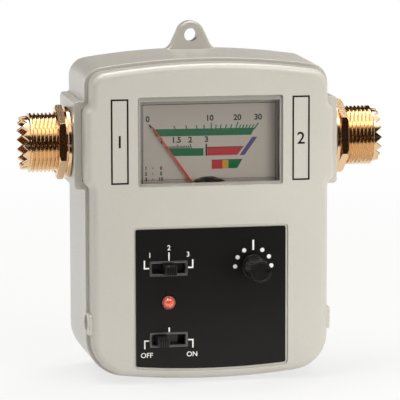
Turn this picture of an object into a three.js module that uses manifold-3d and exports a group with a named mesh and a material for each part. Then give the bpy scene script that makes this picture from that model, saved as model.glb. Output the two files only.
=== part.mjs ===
// A hand-held antenna tester: a two-part moulded case with a panel meter, two slide switches, a set
// knob and a lamp on its front, a threaded coaxial socket on each side and a hanging tab at the top.
// X runs to the right, Y from the front face to the back and Z up. The lowest point of the case is
// at Z = 0 and the middle of the whole part's box is at X = 0, Y = 0.
import * as THREE from "three";
import { mergeVertices } from "three/addons/utils/BufferGeometryUtils.js";
import Module from "manifold-3d";

const wasm = await Module();
wasm.setup();

// Driving dimensions, in millimetres unless a name says degrees, share or count. A depth is
// measured back from the front face, a height up from the foot of the case and a side place from
// the middle of the case.
const gap = 0.3; // clearance left between pieces that touch on the real object
const overrun = 1; // how far every cutter runs past the face that it cuts
const weld = 0.0001; // vertices closer than this are one

const shell = {
  halfWidth: 32.6,
  brow: 10.09,
  shoulder: 10.94,
  depth: 33,
  wall: 2,
  crownRadius: 195,
  topCorner: 5,
  footCorner: 10.7,
  leastCorner: 0.4,
  lobeHalfWidth: 35.34,
  lobeBelow: 11.55,
  lobeAbove: 11.76,
  lobeCorner: 1,
  lobeHollow: 0.6,
  frontLobeHalfWidth: 33.3,
  frontLobeDrop: 1.9,
  frontLobeCorner: 2.9,
  frontLobeHollow: 1.1,
  seamDepth: 6.1,
  seamGap: 0.15,
  ledge: 0.9,
  frontRound: 2.1,
  backRound: 2,
  draft: 0.45,
  tongueWall: 1,
  tongueReach: 1.5,
};

const tab = {
  thickness: 3.9,
  rise: 4,
  radius: 3.8,
  holeRadius: 1.7,
  flankDegrees: 25,
  rootRadius: 3,
  rootSink: 0.3,
  bury: 3,
};

const notch = {
  height: 16,
  halfTall: 2,
  halfWide: 2.5,
  bite: 1,
  liftHalfTall: 3,
  liftFront: 1.2,
  liftInset: 0.1,
};

const caseScrew = {
  topSide: 26.5,
  topDrop: 7.5,
  footSide: 24.5,
  footHeight: 10,
  bossRadius: 3.3,
  frontBossRadius: 3,
  meetDepth: 14,
  seatDepth: 17,
  tipDepth: 5,
  headRadius: 2.4,
  headThickness: 2,
  shankRadius: 1.1,
  crossLength: 2.6,
  crossWidth: 0.6,
  crossDepth: 1,
};

const panel = {
  windowHalfWidth: 18.84,
  windowAboveDialFoot: 3.09,
  windowAboveTip: 2.71,
};

const label = {
  halfWidth: 20.1,
  top: 41.36,
  cornerHeight: 4.73,
  sag: 0.93,
  corner: 0.5,
  thickness: 0.25,
  recessDepth: 0.4,
  recessMargin: 0.6,
  faceDepth: 0.05,
};

const slideSwitch = {
  side: -11.37,
  rangeHeight: 30.84,
  powerHeight: 11.8,
  slotHalfWidth: 4.5,
  slotHalfHeight: 1.45,
  stepLength: 2,
  leverHalfWidth: 1.55,
  leverHalfHeight: 1.2,
  leverReach: 4.4,
  ribCount: 4,
  ribCut: 0.25,
  ribWidth: 0.3,
  baseHalfWidth: 4.9,
  baseHalfHeight: 1.9,
  baseThickness: 1.5,
  bodyWall: 0.8,
  pinHalfWidth: 0.4,
  pinPitch: 4,
};

const lamp = {
  side: -11.4,
  height: 21.8,
  radius: 1.7,
  reach: 1.7,
  flangeRadius: 2.1,
  flangeThickness: 1,
  bodyDepth: 4.6,
  legHalfWidth: 0.25,
  legPitch: 2.54,
};

const knob = {
  side: 11.35,
  height: 30.84,
  baseRadius: 3.35,
  endRadius: 2.85,
  reach: 10.2,
  skirtLength: 1.6,
  chamfer: 0.4,
  boreDepth: 7.4,
  pointerDegrees: 10,
  pointerInner: 1.1,
  pointerWidth: 0.8,
  pointerDepth: 0.6,
};

const potentiometer = {
  shaftRadius: 1.5,
  shaftTail: 5,
  bushRadius: 2.4,
  bushFrontDepth: 0.3,
  halfWidth: 5,
  pinPitch: 2.5,
  pinHalfWidth: 0.4,
};

const board = {
  frontDepth: 8,
  thickness: 1.6,
  halfWidth: 28,
  footHalfWidth: 20.5,
  low: 4.5,
  shoulder: 14.5,
  topMargin: 0.16,
  screwSide: 25,
  screwHeight: 24,
  postRadius: 2.2,
  holeRadius: 1.2,
  screwHeadRadius: 2,
  screwHeadThickness: 1.4,
  screwShankRadius: 0.9,
  screwLength: 6,
  pinReach: 0.8,
  chipHalfWidth: 5,
  chipHalfHeight: 3,
  chipThickness: 1.5,
  chipHeight: 22,
  canSide: -21,
  canHeight: 31,
  canRadius: 3.15,
  canLength: 7,
};

const meter = {
  halfWidth: 20.5,
  boardGap: 1,
  aboveWindow: 1.59,
  backDepth: 11.7,
  wall: 1.2,
  paneFront: 1.2,
  paneThickness: 0.8,
  flangeThickness: 0.6,
  dialDepth: 4.2,
  dialThickness: 0.5,
  dialRise: 3.3,
  dialCutRadius: 7,
  needleLength: 26.3,
  needleDepth: 3.25,
  needleThickness: 0.35,
  needleRootWidth: 0.9,
  needleTipWidth: 0.45,
  needleRestDegrees: -35.2,
  hubRadius: 1.9,
  tailLength: 4.6,
  tailWidth: 1.6,
  pinRadius: 0.35,
  pinHoleRadius: 0.65,
  coilInner: 4.6,
  coilOuter: 5.9,
  coilWidth: 1.2,
  coilFrontDepth: 5.4,
  coilBackDepth: 10.1,
  coilBar: 0.6,
  coreRadius: 4.2,
  coreFrontDepth: 6.4,
  coreBackDepth: 9.1,
  coreLugHalfHeight: 1.5,
  yokeInner: 6.3,
  yokeOuter: 7.7,
  yokeFrontDepth: 6.7,
  yokeClearance: 0.8,
  springDepth: 4.8,
  springThickness: 0.3,
  springInner: 0.9,
  springOuter: 3.4,
  springTurns: 3,
  springBand: 0.25,
  springStepsPerTurn: 12,
  bridgeFrontDepth: 3.9,
  bridgeThickness: 0.6,
  bridgeHalfWidth: 12.2,
  bridgeHalfHeight: 1.5,
  bridgePostSide: 11,
  postRadius: 1.2,
  dialPostSide: 16.8,
  dialPostRise: 1.6,
  dialPostDrop: 3.1,
  earReach: 4.6,
  earHalfHeight: 2.6,
  earDrop: 9.3,
  earFrontDepth: 5,
  earThickness: 1.5,
  earScrewSide: 23,
  earPostRadius: 1.8,
  earScrewShankRadius: 0.8,
  earScrewHeadRadius: 1.7,
  earScrewHeadThickness: 1.2,
  earScrewLength: 4.3,
  terminalSide: 9.5,
  terminalHalfWidth: 0.9,
  terminalThickness: 0.3,
  terminalBelow: 3.8,
  terminalAbove: 1.8,
};

const battery = {
  halfWidth: 13.25,
  bodyHeight: 46,
  thickness: 17.5,
  low: 7.7,
  studHeight: 2.4,
  studSide: 6.35,
  studRadius: 2.7,
  socketRadius: 3.9,
  snapHalfWidth: 12.7,
  snapThickness: 3.6,
  snapHalfDepth: 6.4,
};

const bay = {
  sideClearance: 0.55,
  wall: 1.2,
  shelfHeight: 6.2,
  topClearance: 0.2,
  doorway: 14,
  leadSlotHalfDepth: 4,
};

const door = {
  thickness: 1.7,
  barrelRadius: 1.4,
  hingeHeight: 6,
  stubRadius: 0.7,
  stubLength: 1.2,
  stubClearance: 0.2,
  lugWall: 1.1,
  lugBelow: 2.4,
  lugAbove: 2.6,
  gripRadius: 6,
  gripDepth: 1.1,
  gripHalfWidth: 6,
  gripDrop: 6.6,
  gripRibs: 3,
  gripRibPitch: 1.2,
  gripRibRadius: 0.3,
};

const lead = {
  radius: 0.65,
  sides: 8,
  steps: 24,
};

// The two battery leads run from the snap, out of the bay and down to the board: points chosen by
// hand, as side, depth and height.
const redRoute = [
  [13, 20.6, 56],
  [15.4, 20.6, 56],
  [18, 20.3, 55.2],
  [19.7, 19.6, 52],
  [20.2, 18.4, 46],
  [20.4, 16.4, 41],
  [20.5, 14, 37],
  [20.5, 12.2, 34.2],
  [20.5, 11, 33.2],
  [20.5, 9.9, 33],
];
const blackRoute = [
  [13, 23.4, 56],
  [16.2, 23.4, 56],
  [20.4, 23, 55],
  [22.3, 22, 51.4],
  [22.8, 20.4, 46],
  [23, 18, 40.4],
  [23.1, 15.2, 36],
  [23.1, 12.8, 32.8],
  [23.1, 11, 31.6],
  [23.1, 9.9, 31.4],
];

// A socket's lengths run out from the case's side face, and in where they are negative.
const socket = {
  depth: 16.4,
  threadRadius: 7.94,
  threadPitch: 1.058,
  threadCut: 0.62,
  threadCrests: 7,
  threadStart: 3.5,
  noseRadius: 7.1,
  noseStart: 11.1,
  length: 13.13,
  noseChamfer: 0.35,
  boreRadius: 6.2,
  rearBoreRadius: 5.2,
  shoulder: 3.9,
  insulatorFace: 5.6,
  insulatorBack: -4.6,
  flangeRadius: 9,
  flangeThickness: 1.7,
  washerRadius: 9.45,
  washerThickness: 1,
  nutCornerRadius: 9.9,
  nutCrownRadius: 8.5,
  nutChamfer: 1.1,
  nutThickness: 2.1,
  toothCount: 16,
  toothDepth: 1.5,
  toothShare: 0.94,
  contactRadius: 2.6,
  contactBore: 2.05,
  contactBoreDepth: 6,
  contactTail: 8.3,
  contactTailRadius: 1.7,
};

const coupler = {
  lineRadius: 1.5,
  boardHalfWidth: 22,
  bayGap: 0.5,
  lineRise: 3.6,
  boardHeight: 12,
  boardThickness: 1.6,
  postSide: 19,
  postDrop: 5,
  postRadius: 2,
};

// How finely round things are divided.
const roundSides = 24;
const smallSides = 16;
const tinySides = 10;
const shapeSteps = 6;
const hexSides = 6;
const crownSteps = 9;
const topCornerSteps = 5;
const footCornerSteps = 7;
const lobeCornerSteps = 2;
const edgeSteps = 3;

// Finishes, by the colour and sheen of the real pieces.
function finish(color, roughness, metalness) {
  return new THREE.MeshStandardMaterial({ color, roughness, metalness });
}
const finishes = {
  casePlastic: finish(0xbdb9ab, 0.5, 0),
  labelFilm: finish(0x141414, 0.45, 0),
  blackPlastic: finish(0x1b1b1b, 0.45, 0),
  meterPlastic: finish(0x2a2a2a, 0.5, 0),
  dialPaint: finish(0xbfb8b0, 0.6, 0),
  clearAcrylic: finish(0xe8edf0, 0.08, 0),
  needlePaint: finish(0xc2402a, 0.4, 0),
  goldPlate: finish(0xc9a063, 0.25, 1),
  brass: finish(0xb08d57, 0.35, 1),
  steel: finish(0x9a9a98, 0.35, 1),
  insulator: finish(0xd9cba8, 0.5, 0),
  redLens: finish(0xd0341c, 0.2, 0),
  boardGreen: finish(0x2f5d3a, 0.55, 0),
  copperWire: finish(0xb06a3b, 0.4, 1),
  batteryJacket: finish(0x2d3a55, 0.4, 0.2),
  redWire: finish(0xa02018, 0.5, 0),
  blackWire: finish(0x151515, 0.5, 0),
};

// A closed geometry as a solid that can be joined and cut.
function solidOf(geometry) {
  const bare = geometry.index ? geometry.toNonIndexed() : geometry.clone();
  bare.deleteAttribute("normal");
  bare.deleteAttribute("uv");
  const merged = mergeVertices(bare, weld);
  return new wasm.Manifold(
    new wasm.Mesh({
      numProp: 3,
      vertProperties: merged.attributes.position.array,
      triVerts: new Uint32Array(merged.index.array),
    }),
  );
}

// A solid back as a geometry.
function geometryOf(solid) {
  const mesh = solid.getMesh();
  const points = new Float32Array(mesh.numVert * 3);
  for (let i = 0; i < mesh.numVert; i += 1) {
    points.set(mesh.vertProperties.subarray(i * mesh.numProp, i * mesh.numProp + 3), i * 3);
  }
  const geometry = new THREE.BufferGeometry();
  geometry.setAttribute("position", new THREE.BufferAttribute(points, 3));
  geometry.setIndex(new THREE.BufferAttribute(new Uint32Array(mesh.triVerts), 1));
  geometry.computeVertexNormals();
  return geometry;
}

function joined(solids) {
  return solids.reduce((sum, next) => sum.add(next));
}

function cutBy(solid, cutters) {
  return cutters.reduce((left, cutter) => left.subtract(cutter), solid);
}

// A block between two corners.
function block(low, high) {
  const size = high.map((value, i) => value - low[i]);
  const middle = high.map((value, i) => (value + low[i]) / 2);
  return solidOf(new THREE.BoxGeometry(...size).translate(...middle));
}

// A round rod from one depth to another at a side place and height.
function rodAlongDepth(radius, from, to, side, height, sides = smallSides) {
  const rod = new THREE.CylinderGeometry(radius, radius, to - from, sides);
  return solidOf(rod.translate(side, (from + to) / 2, height));
}

function rodAlongSide(radius, from, to, depth, height, sides = smallSides) {
  const rod = new THREE.CylinderGeometry(radius, radius, to - from, sides).rotateZ(-Math.PI / 2);
  return solidOf(rod.translate((from + to) / 2, depth, height));
}

function rodAlongHeight(radius, from, to, side, depth, sides = smallSides) {
  const rod = new THREE.CylinderGeometry(radius, radius, to - from, sides).rotateX(Math.PI / 2);
  return solidOf(rod.translate(side, depth, (from + to) / 2));
}

// A shape drawn in side and height, carried from one depth to another.
function plate(shape, from, to, curveSegments = shapeSteps) {
  const made = new THREE.ExtrudeGeometry(shape, {
    depth: to - from,
    bevelEnabled: false,
    curveSegments,
  });
  return solidOf(made.rotateX(Math.PI / 2).translate(0, to, 0));
}

// A shape drawn in depth and height, carried from one side place to another.
function sidePlate(shape, from, to, curveSegments = shapeSteps) {
  const made = new THREE.ExtrudeGeometry(shape, {
    depth: to - from,
    bevelEnabled: false,
    curveSegments,
  });
  const turn = new THREE.Matrix4().makeBasis(
    new THREE.Vector3(0, 1, 0),
    new THREE.Vector3(0, 0, 1),
    new THREE.Vector3(1, 0, 0),
  );
  return solidOf(made.applyMatrix4(turn).translate(from, 0, 0));
}

// A turned piece: a profile of [radius, place] pairs round the Y axis, later stood where wanted.
function turned(profile, sides) {
  const points = profile.map(([radius, place]) => new THREE.Vector2(radius, place));
  return new THREE.LatheGeometry(points, sides);
}

// A turned piece whose axis runs along X, for the sockets.
function turnedAlongSide(profile, sides = roundSides) {
  return turned(profile, sides).rotateZ(-Math.PI / 2);
}

// Points of an arc about a centre, from one angle to another.
function arc(centreX, centreZ, radius, from, to, steps) {
  return Array.from({ length: steps + 1 }, (_, i) => {
    const angle = from + ((to - from) * i) / steps;
    return new THREE.Vector2(
      centreX + radius * Math.cos(angle),
      centreZ + radius * Math.sin(angle),
    );
  });
}

// Heights that follow from one another. The controls carry the board, the board the meter and the
// battery the sockets. The case is as high as the taller of the meter and the side lobes needs.
const boardTop = knob.height + potentiometer.halfWidth + board.topMargin;
const meterLow = boardTop + meter.boardGap;
const pivotHeight = meterLow + meter.wall + meter.yokeClearance + meter.yokeOuter;
const dialLow = pivotHeight + meter.dialRise;
const windowLow = dialLow + panel.windowAboveDialFoot;
const windowHigh = pivotHeight + meter.needleLength + panel.windowAboveTip;
const meterHigh = windowHigh + meter.aboveWindow;
const earHeight = meterHigh - meter.earDrop;
const batteryTop = battery.low + battery.bodyHeight;
const bayTop = batteryTop + gap + battery.snapThickness + bay.topClearance;
const doorTop = bayTop + gap;
const couplerLow = bayTop + bay.wall + coupler.bayGap;
const couplerHigh = couplerLow + coupler.boardHeight;
const socketHeight = couplerLow + coupler.lineRise;
const lobeLow = socketHeight - shell.lobeBelow;
const lobeHigh = socketHeight + shell.lobeAbove;
const caseTop = Math.max(windowHigh + shell.brow, lobeHigh + shell.shoulder);
const tabHeight = caseTop + tab.rise;

// The two kinds of lobe: the back shell's stand out further than the front shell's, whose reach and
// corners are counted from the same inset as the rest of the outline.
const backLobe = {
  halfWidth: shell.lobeHalfWidth,
  low: lobeLow,
  high: lobeHigh,
  corner: shell.lobeCorner,
  hollow: shell.lobeHollow,
};
const frontLobe = {
  halfWidth: shell.frontLobeHalfWidth + shell.ledge,
  low: lobeLow + shell.frontLobeDrop,
  high: lobeHigh - shell.frontLobeDrop,
  corner: shell.frontLobeCorner,
  hollow: shell.frontLobeHollow,
};

// One side's lobe, from the bottom up on the right. Each of its ends is a hollow arc that leads out
// of the case's side and a round one that leads into the lobe's face, with a straight between them
// where the two arcs are smaller than the step.
function lobeEdge(halfWidth, inset, lobe) {
  const reach = lobe.halfWidth - inset;
  const hollow = lobe.hollow + inset;
  const round = Math.max(lobe.corner - inset, shell.leastCorner);
  const turn = Math.acos(Math.max(1 - (reach - halfWidth) / (hollow + round), 0));
  const rise = Math.sin(turn);
  const low = lobe.low + inset * rise;
  const high = lobe.high - inset * rise;
  const rootX = halfWidth + hollow;
  const faceX = reach - round;
  const steps = lobeCornerSteps;
  return [
    ...arc(rootX, low - hollow * rise, hollow, Math.PI, Math.PI - turn, steps),
    ...arc(faceX, low + round * rise, round, -turn, 0, steps),
    ...arc(faceX, high - round * rise, round, 0, turn, steps),
    ...arc(rootX, high + hollow * rise, hollow, Math.PI + turn, Math.PI, steps),
  ];
}

// The case's outline in side and height, drawn in by an inset all round and by the draft on its
// sides and top. Top and foot are shallow arcs that meet the straight sides in rounded corners.
function caseOutline(inset, draft, lobe) {
  const halfWidth = shell.halfWidth - inset - draft;
  const crown = shell.crownRadius - inset;
  const top = caseTop - inset - draft;
  const foot = inset;
  const topRound = Math.max(shell.topCorner - inset, shell.leastCorner);
  const footRound = Math.max(shell.footCorner - inset, shell.leastCorner);
  const topRise = Math.sqrt((crown - topRound) ** 2 - (halfWidth - topRound) ** 2);
  const footRise = Math.sqrt((crown - footRound) ** 2 - (halfWidth - footRound) ** 2);
  const topAngle = Math.atan2(topRise, halfWidth - topRound);
  const footAngle = Math.atan2(footRise, halfWidth - footRound);
  const topCentre = top - crown + topRise;
  const footCentre = foot + crown - footRise;
  const sideX = halfWidth - topRound;
  const footX = halfWidth - footRound;
  const right = lobe ? lobeEdge(halfWidth, inset, lobe) : [];
  const left = right.map((point) => new THREE.Vector2(-point.x, point.y)).reverse();
  const footArc = arc(0, foot + crown, crown, -Math.PI + footAngle, -footAngle, crownSteps);
  const topArc = arc(0, top - crown, crown, topAngle, Math.PI - topAngle, crownSteps);
  return [
    ...footArc.slice(1, -1),
    ...arc(footX, footCentre, footRound, -footAngle, 0, footCornerSteps),
    ...right,
    ...arc(sideX, topCentre, topRound, 0, topAngle, topCornerSteps),
    ...topArc.slice(1, -1),
    ...arc(-sideX, topCentre, topRound, Math.PI - topAngle, Math.PI, topCornerSteps),
    ...left,
    ...arc(-footX, footCentre, footRound, -Math.PI, -Math.PI + footAngle, footCornerSteps),
  ];
}

// A skin through outlines of equal point count, each at its own depth, closed by two flat caps.
function loft(stations) {
  const count = stations[0].outline.length;
  const points = stations.flatMap(({ depth, outline }) =>
    outline.flatMap((point) => [point.x, depth, point.y]),
  );
  const faces = [];
  const cap = THREE.ShapeUtils.triangulateShape(stations[0].outline, []);
  const backCap = THREE.ShapeUtils.triangulateShape(stations.at(-1).outline, []);
  const last = (stations.length - 1) * count;
  cap.forEach(([a, b, c]) => faces.push(a, b, c));
  backCap.forEach(([a, b, c]) => faces.push(last + a, last + c, last + b));
  for (let s = 0; s < stations.length - 1; s += 1) {
    for (let i = 0; i < count; i += 1) {
      const here = s * count + i;
      const next = s * count + ((i + 1) % count);
      faces.push(here, here + count, next, next, here + count, next + count);
    }
  }
  const geometry = new THREE.BufferGeometry();
  geometry.setAttribute("position", new THREE.Float32BufferAttribute(points, 3));
  geometry.setIndex(faces);
  return solidOf(geometry);
}

function station(depth, inset, draft, lobe) {
  return { depth, outline: caseOutline(inset, draft, lobe) };
}

// The group that holds every piece, and the call that puts one in it.
const tester = new THREE.Group();
const placed = new THREE.Group();
tester.add(placed);

function put(name, solid, material, parent = placed) {
  const mesh = new THREE.Mesh(geometryOf(solid), material);
  mesh.name = name;
  parent.add(mesh);
  return mesh;
}

// Depths that several pieces share.
const backFace = shell.depth;
const backInside = shell.depth - shell.wall;
const panelBack = shell.wall;
const behindPanel = panelBack + gap;
const boardBack = board.frontDepth + board.thickness;
const doorInside = backFace - door.thickness;
const hingeDepth = backFace - door.barrelRadius;
const batteryBack = doorInside - gap;
const batteryFront = batteryBack - battery.thickness;
const bayFront = batteryFront - gap - bay.wall;
const bayHalf = battery.halfWidth + bay.sideClearance;
const screwPlaces = [
  [-caseScrew.topSide, caseTop - caseScrew.topDrop],
  [caseScrew.topSide, caseTop - caseScrew.topDrop],
  [-caseScrew.footSide, caseScrew.footHeight],
  [caseScrew.footSide, caseScrew.footHeight],
];
const boardScrewPlaces = [
  ["left", -board.screwSide],
  ["right", board.screwSide],
];

// The label's outline: straight top and sides and a shallow arc along the foot.
function labelShape(margin) {
  const half = label.halfWidth + margin;
  const top = label.top + margin;
  const low = label.cornerHeight - margin;
  const round = label.corner + margin;
  const radius = (label.halfWidth ** 2 + label.sag ** 2) / (2 * label.sag);
  const start = Math.asin((half - round) / radius);
  const drop = radius * Math.cos(start);
  const shape = new THREE.Shape();
  shape.moveTo(half - round, low);
  shape.absarc(half - round, low + round, round, -Math.PI / 2, 0, false);
  shape.lineTo(half, top - round);
  shape.absarc(half - round, top - round, round, 0, Math.PI / 2, false);
  shape.lineTo(-half + round, top);
  shape.absarc(-half + round, top - round, round, Math.PI / 2, Math.PI, false);
  shape.lineTo(-half, low + round);
  shape.absarc(-half + round, low + round, round, Math.PI, Math.PI * 1.5, false);
  shape.absarc(0, low + drop, radius, -Math.PI / 2 - start, -Math.PI / 2 + start, false);
  return shape;
}

// The holes that the controls need, through whatever lies from one depth to another.
function controlCuts(from, to) {
  const slots = [slideSwitch.rangeHeight, slideSwitch.powerHeight].map((height) =>
    block(
      [slideSwitch.side - slideSwitch.slotHalfWidth, from, height - slideSwitch.slotHalfHeight],
      [slideSwitch.side + slideSwitch.slotHalfWidth, to, height + slideSwitch.slotHalfHeight],
    ),
  );
  return [
    ...slots,
    rodAlongDepth(lamp.radius + gap, from, to, lamp.side, lamp.height, roundSides),
    rodAlongDepth(potentiometer.bushRadius + gap, from, to, knob.side, knob.height, roundSides),
  ];
}

// A lens between two equal arcs that cross above and below a place on the seam.
function lensShape() {
  const { halfTall, halfWide } = notch;
  const radius = (halfTall ** 2 + halfWide ** 2) / (2 * halfWide);
  const turn = Math.atan2(halfTall, radius - halfWide);
  const shape = new THREE.Shape();
  const shift = radius - halfWide;
  shape.absarc(shell.seamDepth - shift, notch.height, radius, -turn, turn, false);
  shape.absarc(shell.seamDepth + shift, notch.height, radius, Math.PI - turn, Math.PI + turn, false);
  return shape;
}

function notchCuts() {
  const outer = shell.halfWidth + overrun;
  const inner = shell.halfWidth - notch.bite;
  return [
    sidePlate(lensShape(), inner, outer),
    sidePlate(lensShape(), -outer, -inner),
  ];
}

// The front half of the case: a dished panel with the meter's window, the label's recess, screw
// bosses, board posts and a tongue that closes the seam from inside.
function frontShell() {
  const rounds = Array.from({ length: edgeSteps + 1 }, (_, i) => {
    const angle = (Math.PI / 2) * (i / edgeSteps);
    const inset = shell.ledge + shell.frontRound * (1 - Math.sin(angle));
    return station(shell.frontRound * (1 - Math.cos(angle)), inset, 0, frontLobe);
  });
  const rim = shell.seamDepth - shell.seamGap;
  const outside = loft([...rounds, station(rim, shell.ledge, 0, frontLobe)]);
  const inside = loft([
    station(panelBack, shell.ledge + shell.wall, 0, frontLobe),
    station(rim + overrun, shell.ledge + shell.wall, 0, frontLobe),
  ]);
  const tongueInset = shell.wall + gap;
  const tongueEnd = shell.seamDepth + shell.tongueReach;
  const tongueOutside = loft([
    station(panelBack - gap, tongueInset, 0, null),
    station(tongueEnd, tongueInset, 0, null),
  ]);
  const tongueInside = loft([
    station(panelBack - overrun, tongueInset + shell.tongueWall, 0, null),
    station(tongueEnd + overrun, tongueInset + shell.tongueWall, 0, null),
  ]);
  const tongue = tongueOutside.subtract(tongueInside);
  const bossEnd = caseScrew.meetDepth - gap;
  const bosses = screwPlaces.map(([side, height]) =>
    rodAlongDepth(caseScrew.frontBossRadius, panelBack - gap, bossEnd, side, height),
  );
  const pilots = screwPlaces.map(([side, height]) => {
    const radius = caseScrew.shankRadius + gap;
    return rodAlongDepth(radius, caseScrew.tipDepth - gap, bossEnd + overrun, side, height);
  });
  const postEnd = board.frontDepth - gap;
  const posts = boardScrewPlaces.map(([, side]) =>
    rodAlongDepth(board.postRadius, panelBack - gap, postEnd, side, board.screwHeight),
  );
  const screwTip = boardBack + gap - board.screwLength;
  const postHoles = boardScrewPlaces.map(([, side]) =>
    rodAlongDepth(board.holeRadius, screwTip - gap, postEnd + overrun, side, board.screwHeight),
  );
  const earEnd = meter.earFrontDepth - gap;
  const earPosts = [-1, 1].map((hand) =>
    rodAlongDepth(meter.earPostRadius, panelBack - gap, earEnd, hand * meter.earScrewSide, earHeight),
  );
  const earHoles = [-1, 1].map((hand) => {
    const radius = meter.earScrewShankRadius + gap;
    const side = hand * meter.earScrewSide;
    return rodAlongDepth(radius, panelBack - gap, earEnd + overrun, side, earHeight);
  });
  const liftOuter = shell.halfWidth - notch.liftInset;
  const lifts = [-1, 1].map((hand) => {
    const near = hand * (shell.halfWidth - shell.ledge - shell.wall);
    const far = hand * liftOuter;
    return block(
      [Math.min(near, far), notch.liftFront, notch.height - notch.liftHalfTall],
      [Math.max(near, far), rim, notch.height + notch.liftHalfTall],
    );
  });
  const window = block(
    [-panel.windowHalfWidth, -overrun, windowLow],
    [panel.windowHalfWidth, panelBack + overrun, windowHigh],
  );
  const recess = plate(labelShape(label.recessMargin), -overrun, label.recessDepth);
  const body = joined([outside.subtract(inside), tongue, ...bosses, ...posts, ...earPosts, ...lifts]);
  const cuts = [
    window,
    recess,
    ...pilots,
    ...postHoles,
    ...earHoles,
    ...notchCuts(),
    ...controlCuts(-overrun, panelBack + overrun),
  ];
  put("front_shell", cutBy(body, cuts), finishes.casePlastic);
}

// The hanging tab's outline: a round head on two leaning flanks that sweep out into the case's top.
function tabShape() {
  const lean = THREE.MathUtils.degToRad(tab.flankDegrees);
  const crownTop = caseTop - shell.draft;
  const root = crownTop - tab.rootSink;
  const startX = tab.radius * Math.cos(lean);
  const startZ = tabHeight + tab.radius * Math.sin(lean);
  const sweepZ = root + tab.rootRadius * (1 - Math.sin(lean));
  const sweepX = startX + (startZ - sweepZ) * Math.tan(lean);
  const centreX = sweepX + tab.rootRadius * Math.cos(lean);
  const shape = new THREE.Shape();
  shape.moveTo(-centreX, root - tab.bury);
  shape.lineTo(centreX, root - tab.bury);
  shape.lineTo(centreX, root);
  shape.absarc(centreX, root + tab.rootRadius, tab.rootRadius, -Math.PI / 2, -Math.PI + lean, true);
  shape.absarc(0, tabHeight, tab.radius, lean, Math.PI - lean, false);
  shape.absarc(-centreX, root + tab.rootRadius, tab.rootRadius, -lean, -Math.PI / 2, true);
  return shape;
}

// The walls round the battery, open at the back, with a shelf below it and lugs for the door.
function batteryBay() {
  const outer = bayHalf + bay.wall;
  const top = bayTop + bay.wall;
  const hull = block([-outer, bayFront, bay.shelfHeight], [outer, backInside + gap, top]);
  const room = block(
    [-bayHalf, bayFront + bay.wall, bay.shelfHeight + bay.wall],
    [bayHalf, backInside + overrun, bayTop],
  );
  const leadSlot = block(
    [0, batteryBack - battery.thickness / 2 - bay.leadSlotHalfDepth, batteryTop - gap],
    [outer + overrun, batteryBack - battery.thickness / 2 + bay.leadSlotHalfDepth, bayTop],
  );
  const lugs = [-1, 1].map((hand) => {
    const near = hand * bay.doorway;
    const far = hand * (bay.doorway + door.stubLength + door.lugWall);
    return block(
      [Math.min(near, far), hingeDepth - door.stubRadius - door.lugBelow, door.hingeHeight - door.lugBelow],
      [Math.max(near, far), backInside + gap, door.hingeHeight + door.lugAbove],
    );
  });
  return { walls: joined([hull, ...lugs]), cuts: [room, leadSlot] };
}

// The doorway in the back wall, with room for the door's rounded lower edge and its two stubs.
function doorwayCuts() {
  const low = door.hingeHeight - door.barrelRadius - gap;
  const opening = block(
    [-bay.doorway, backInside - overrun, low],
    [bay.doorway, backFace + overrun, doorTop + gap],
  );
  const keep = block(
    [-bayHalf - bay.wall, backInside - overrun * 2, bayTop],
    [bayHalf + bay.wall, backInside, doorTop + overrun],
  );
  const barrelRoom = rodAlongSide(
    door.barrelRadius + gap,
    -bay.doorway,
    bay.doorway,
    hingeDepth,
    door.hingeHeight,
    roundSides,
  );
  const stubReach = bay.doorway + door.stubLength;
  const stubRoom = rodAlongSide(
    door.stubRadius + door.stubClearance,
    -stubReach,
    stubReach,
    hingeDepth,
    door.hingeHeight,
  );
  return [opening.subtract(keep), barrelRoom, stubRoom];
}

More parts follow.
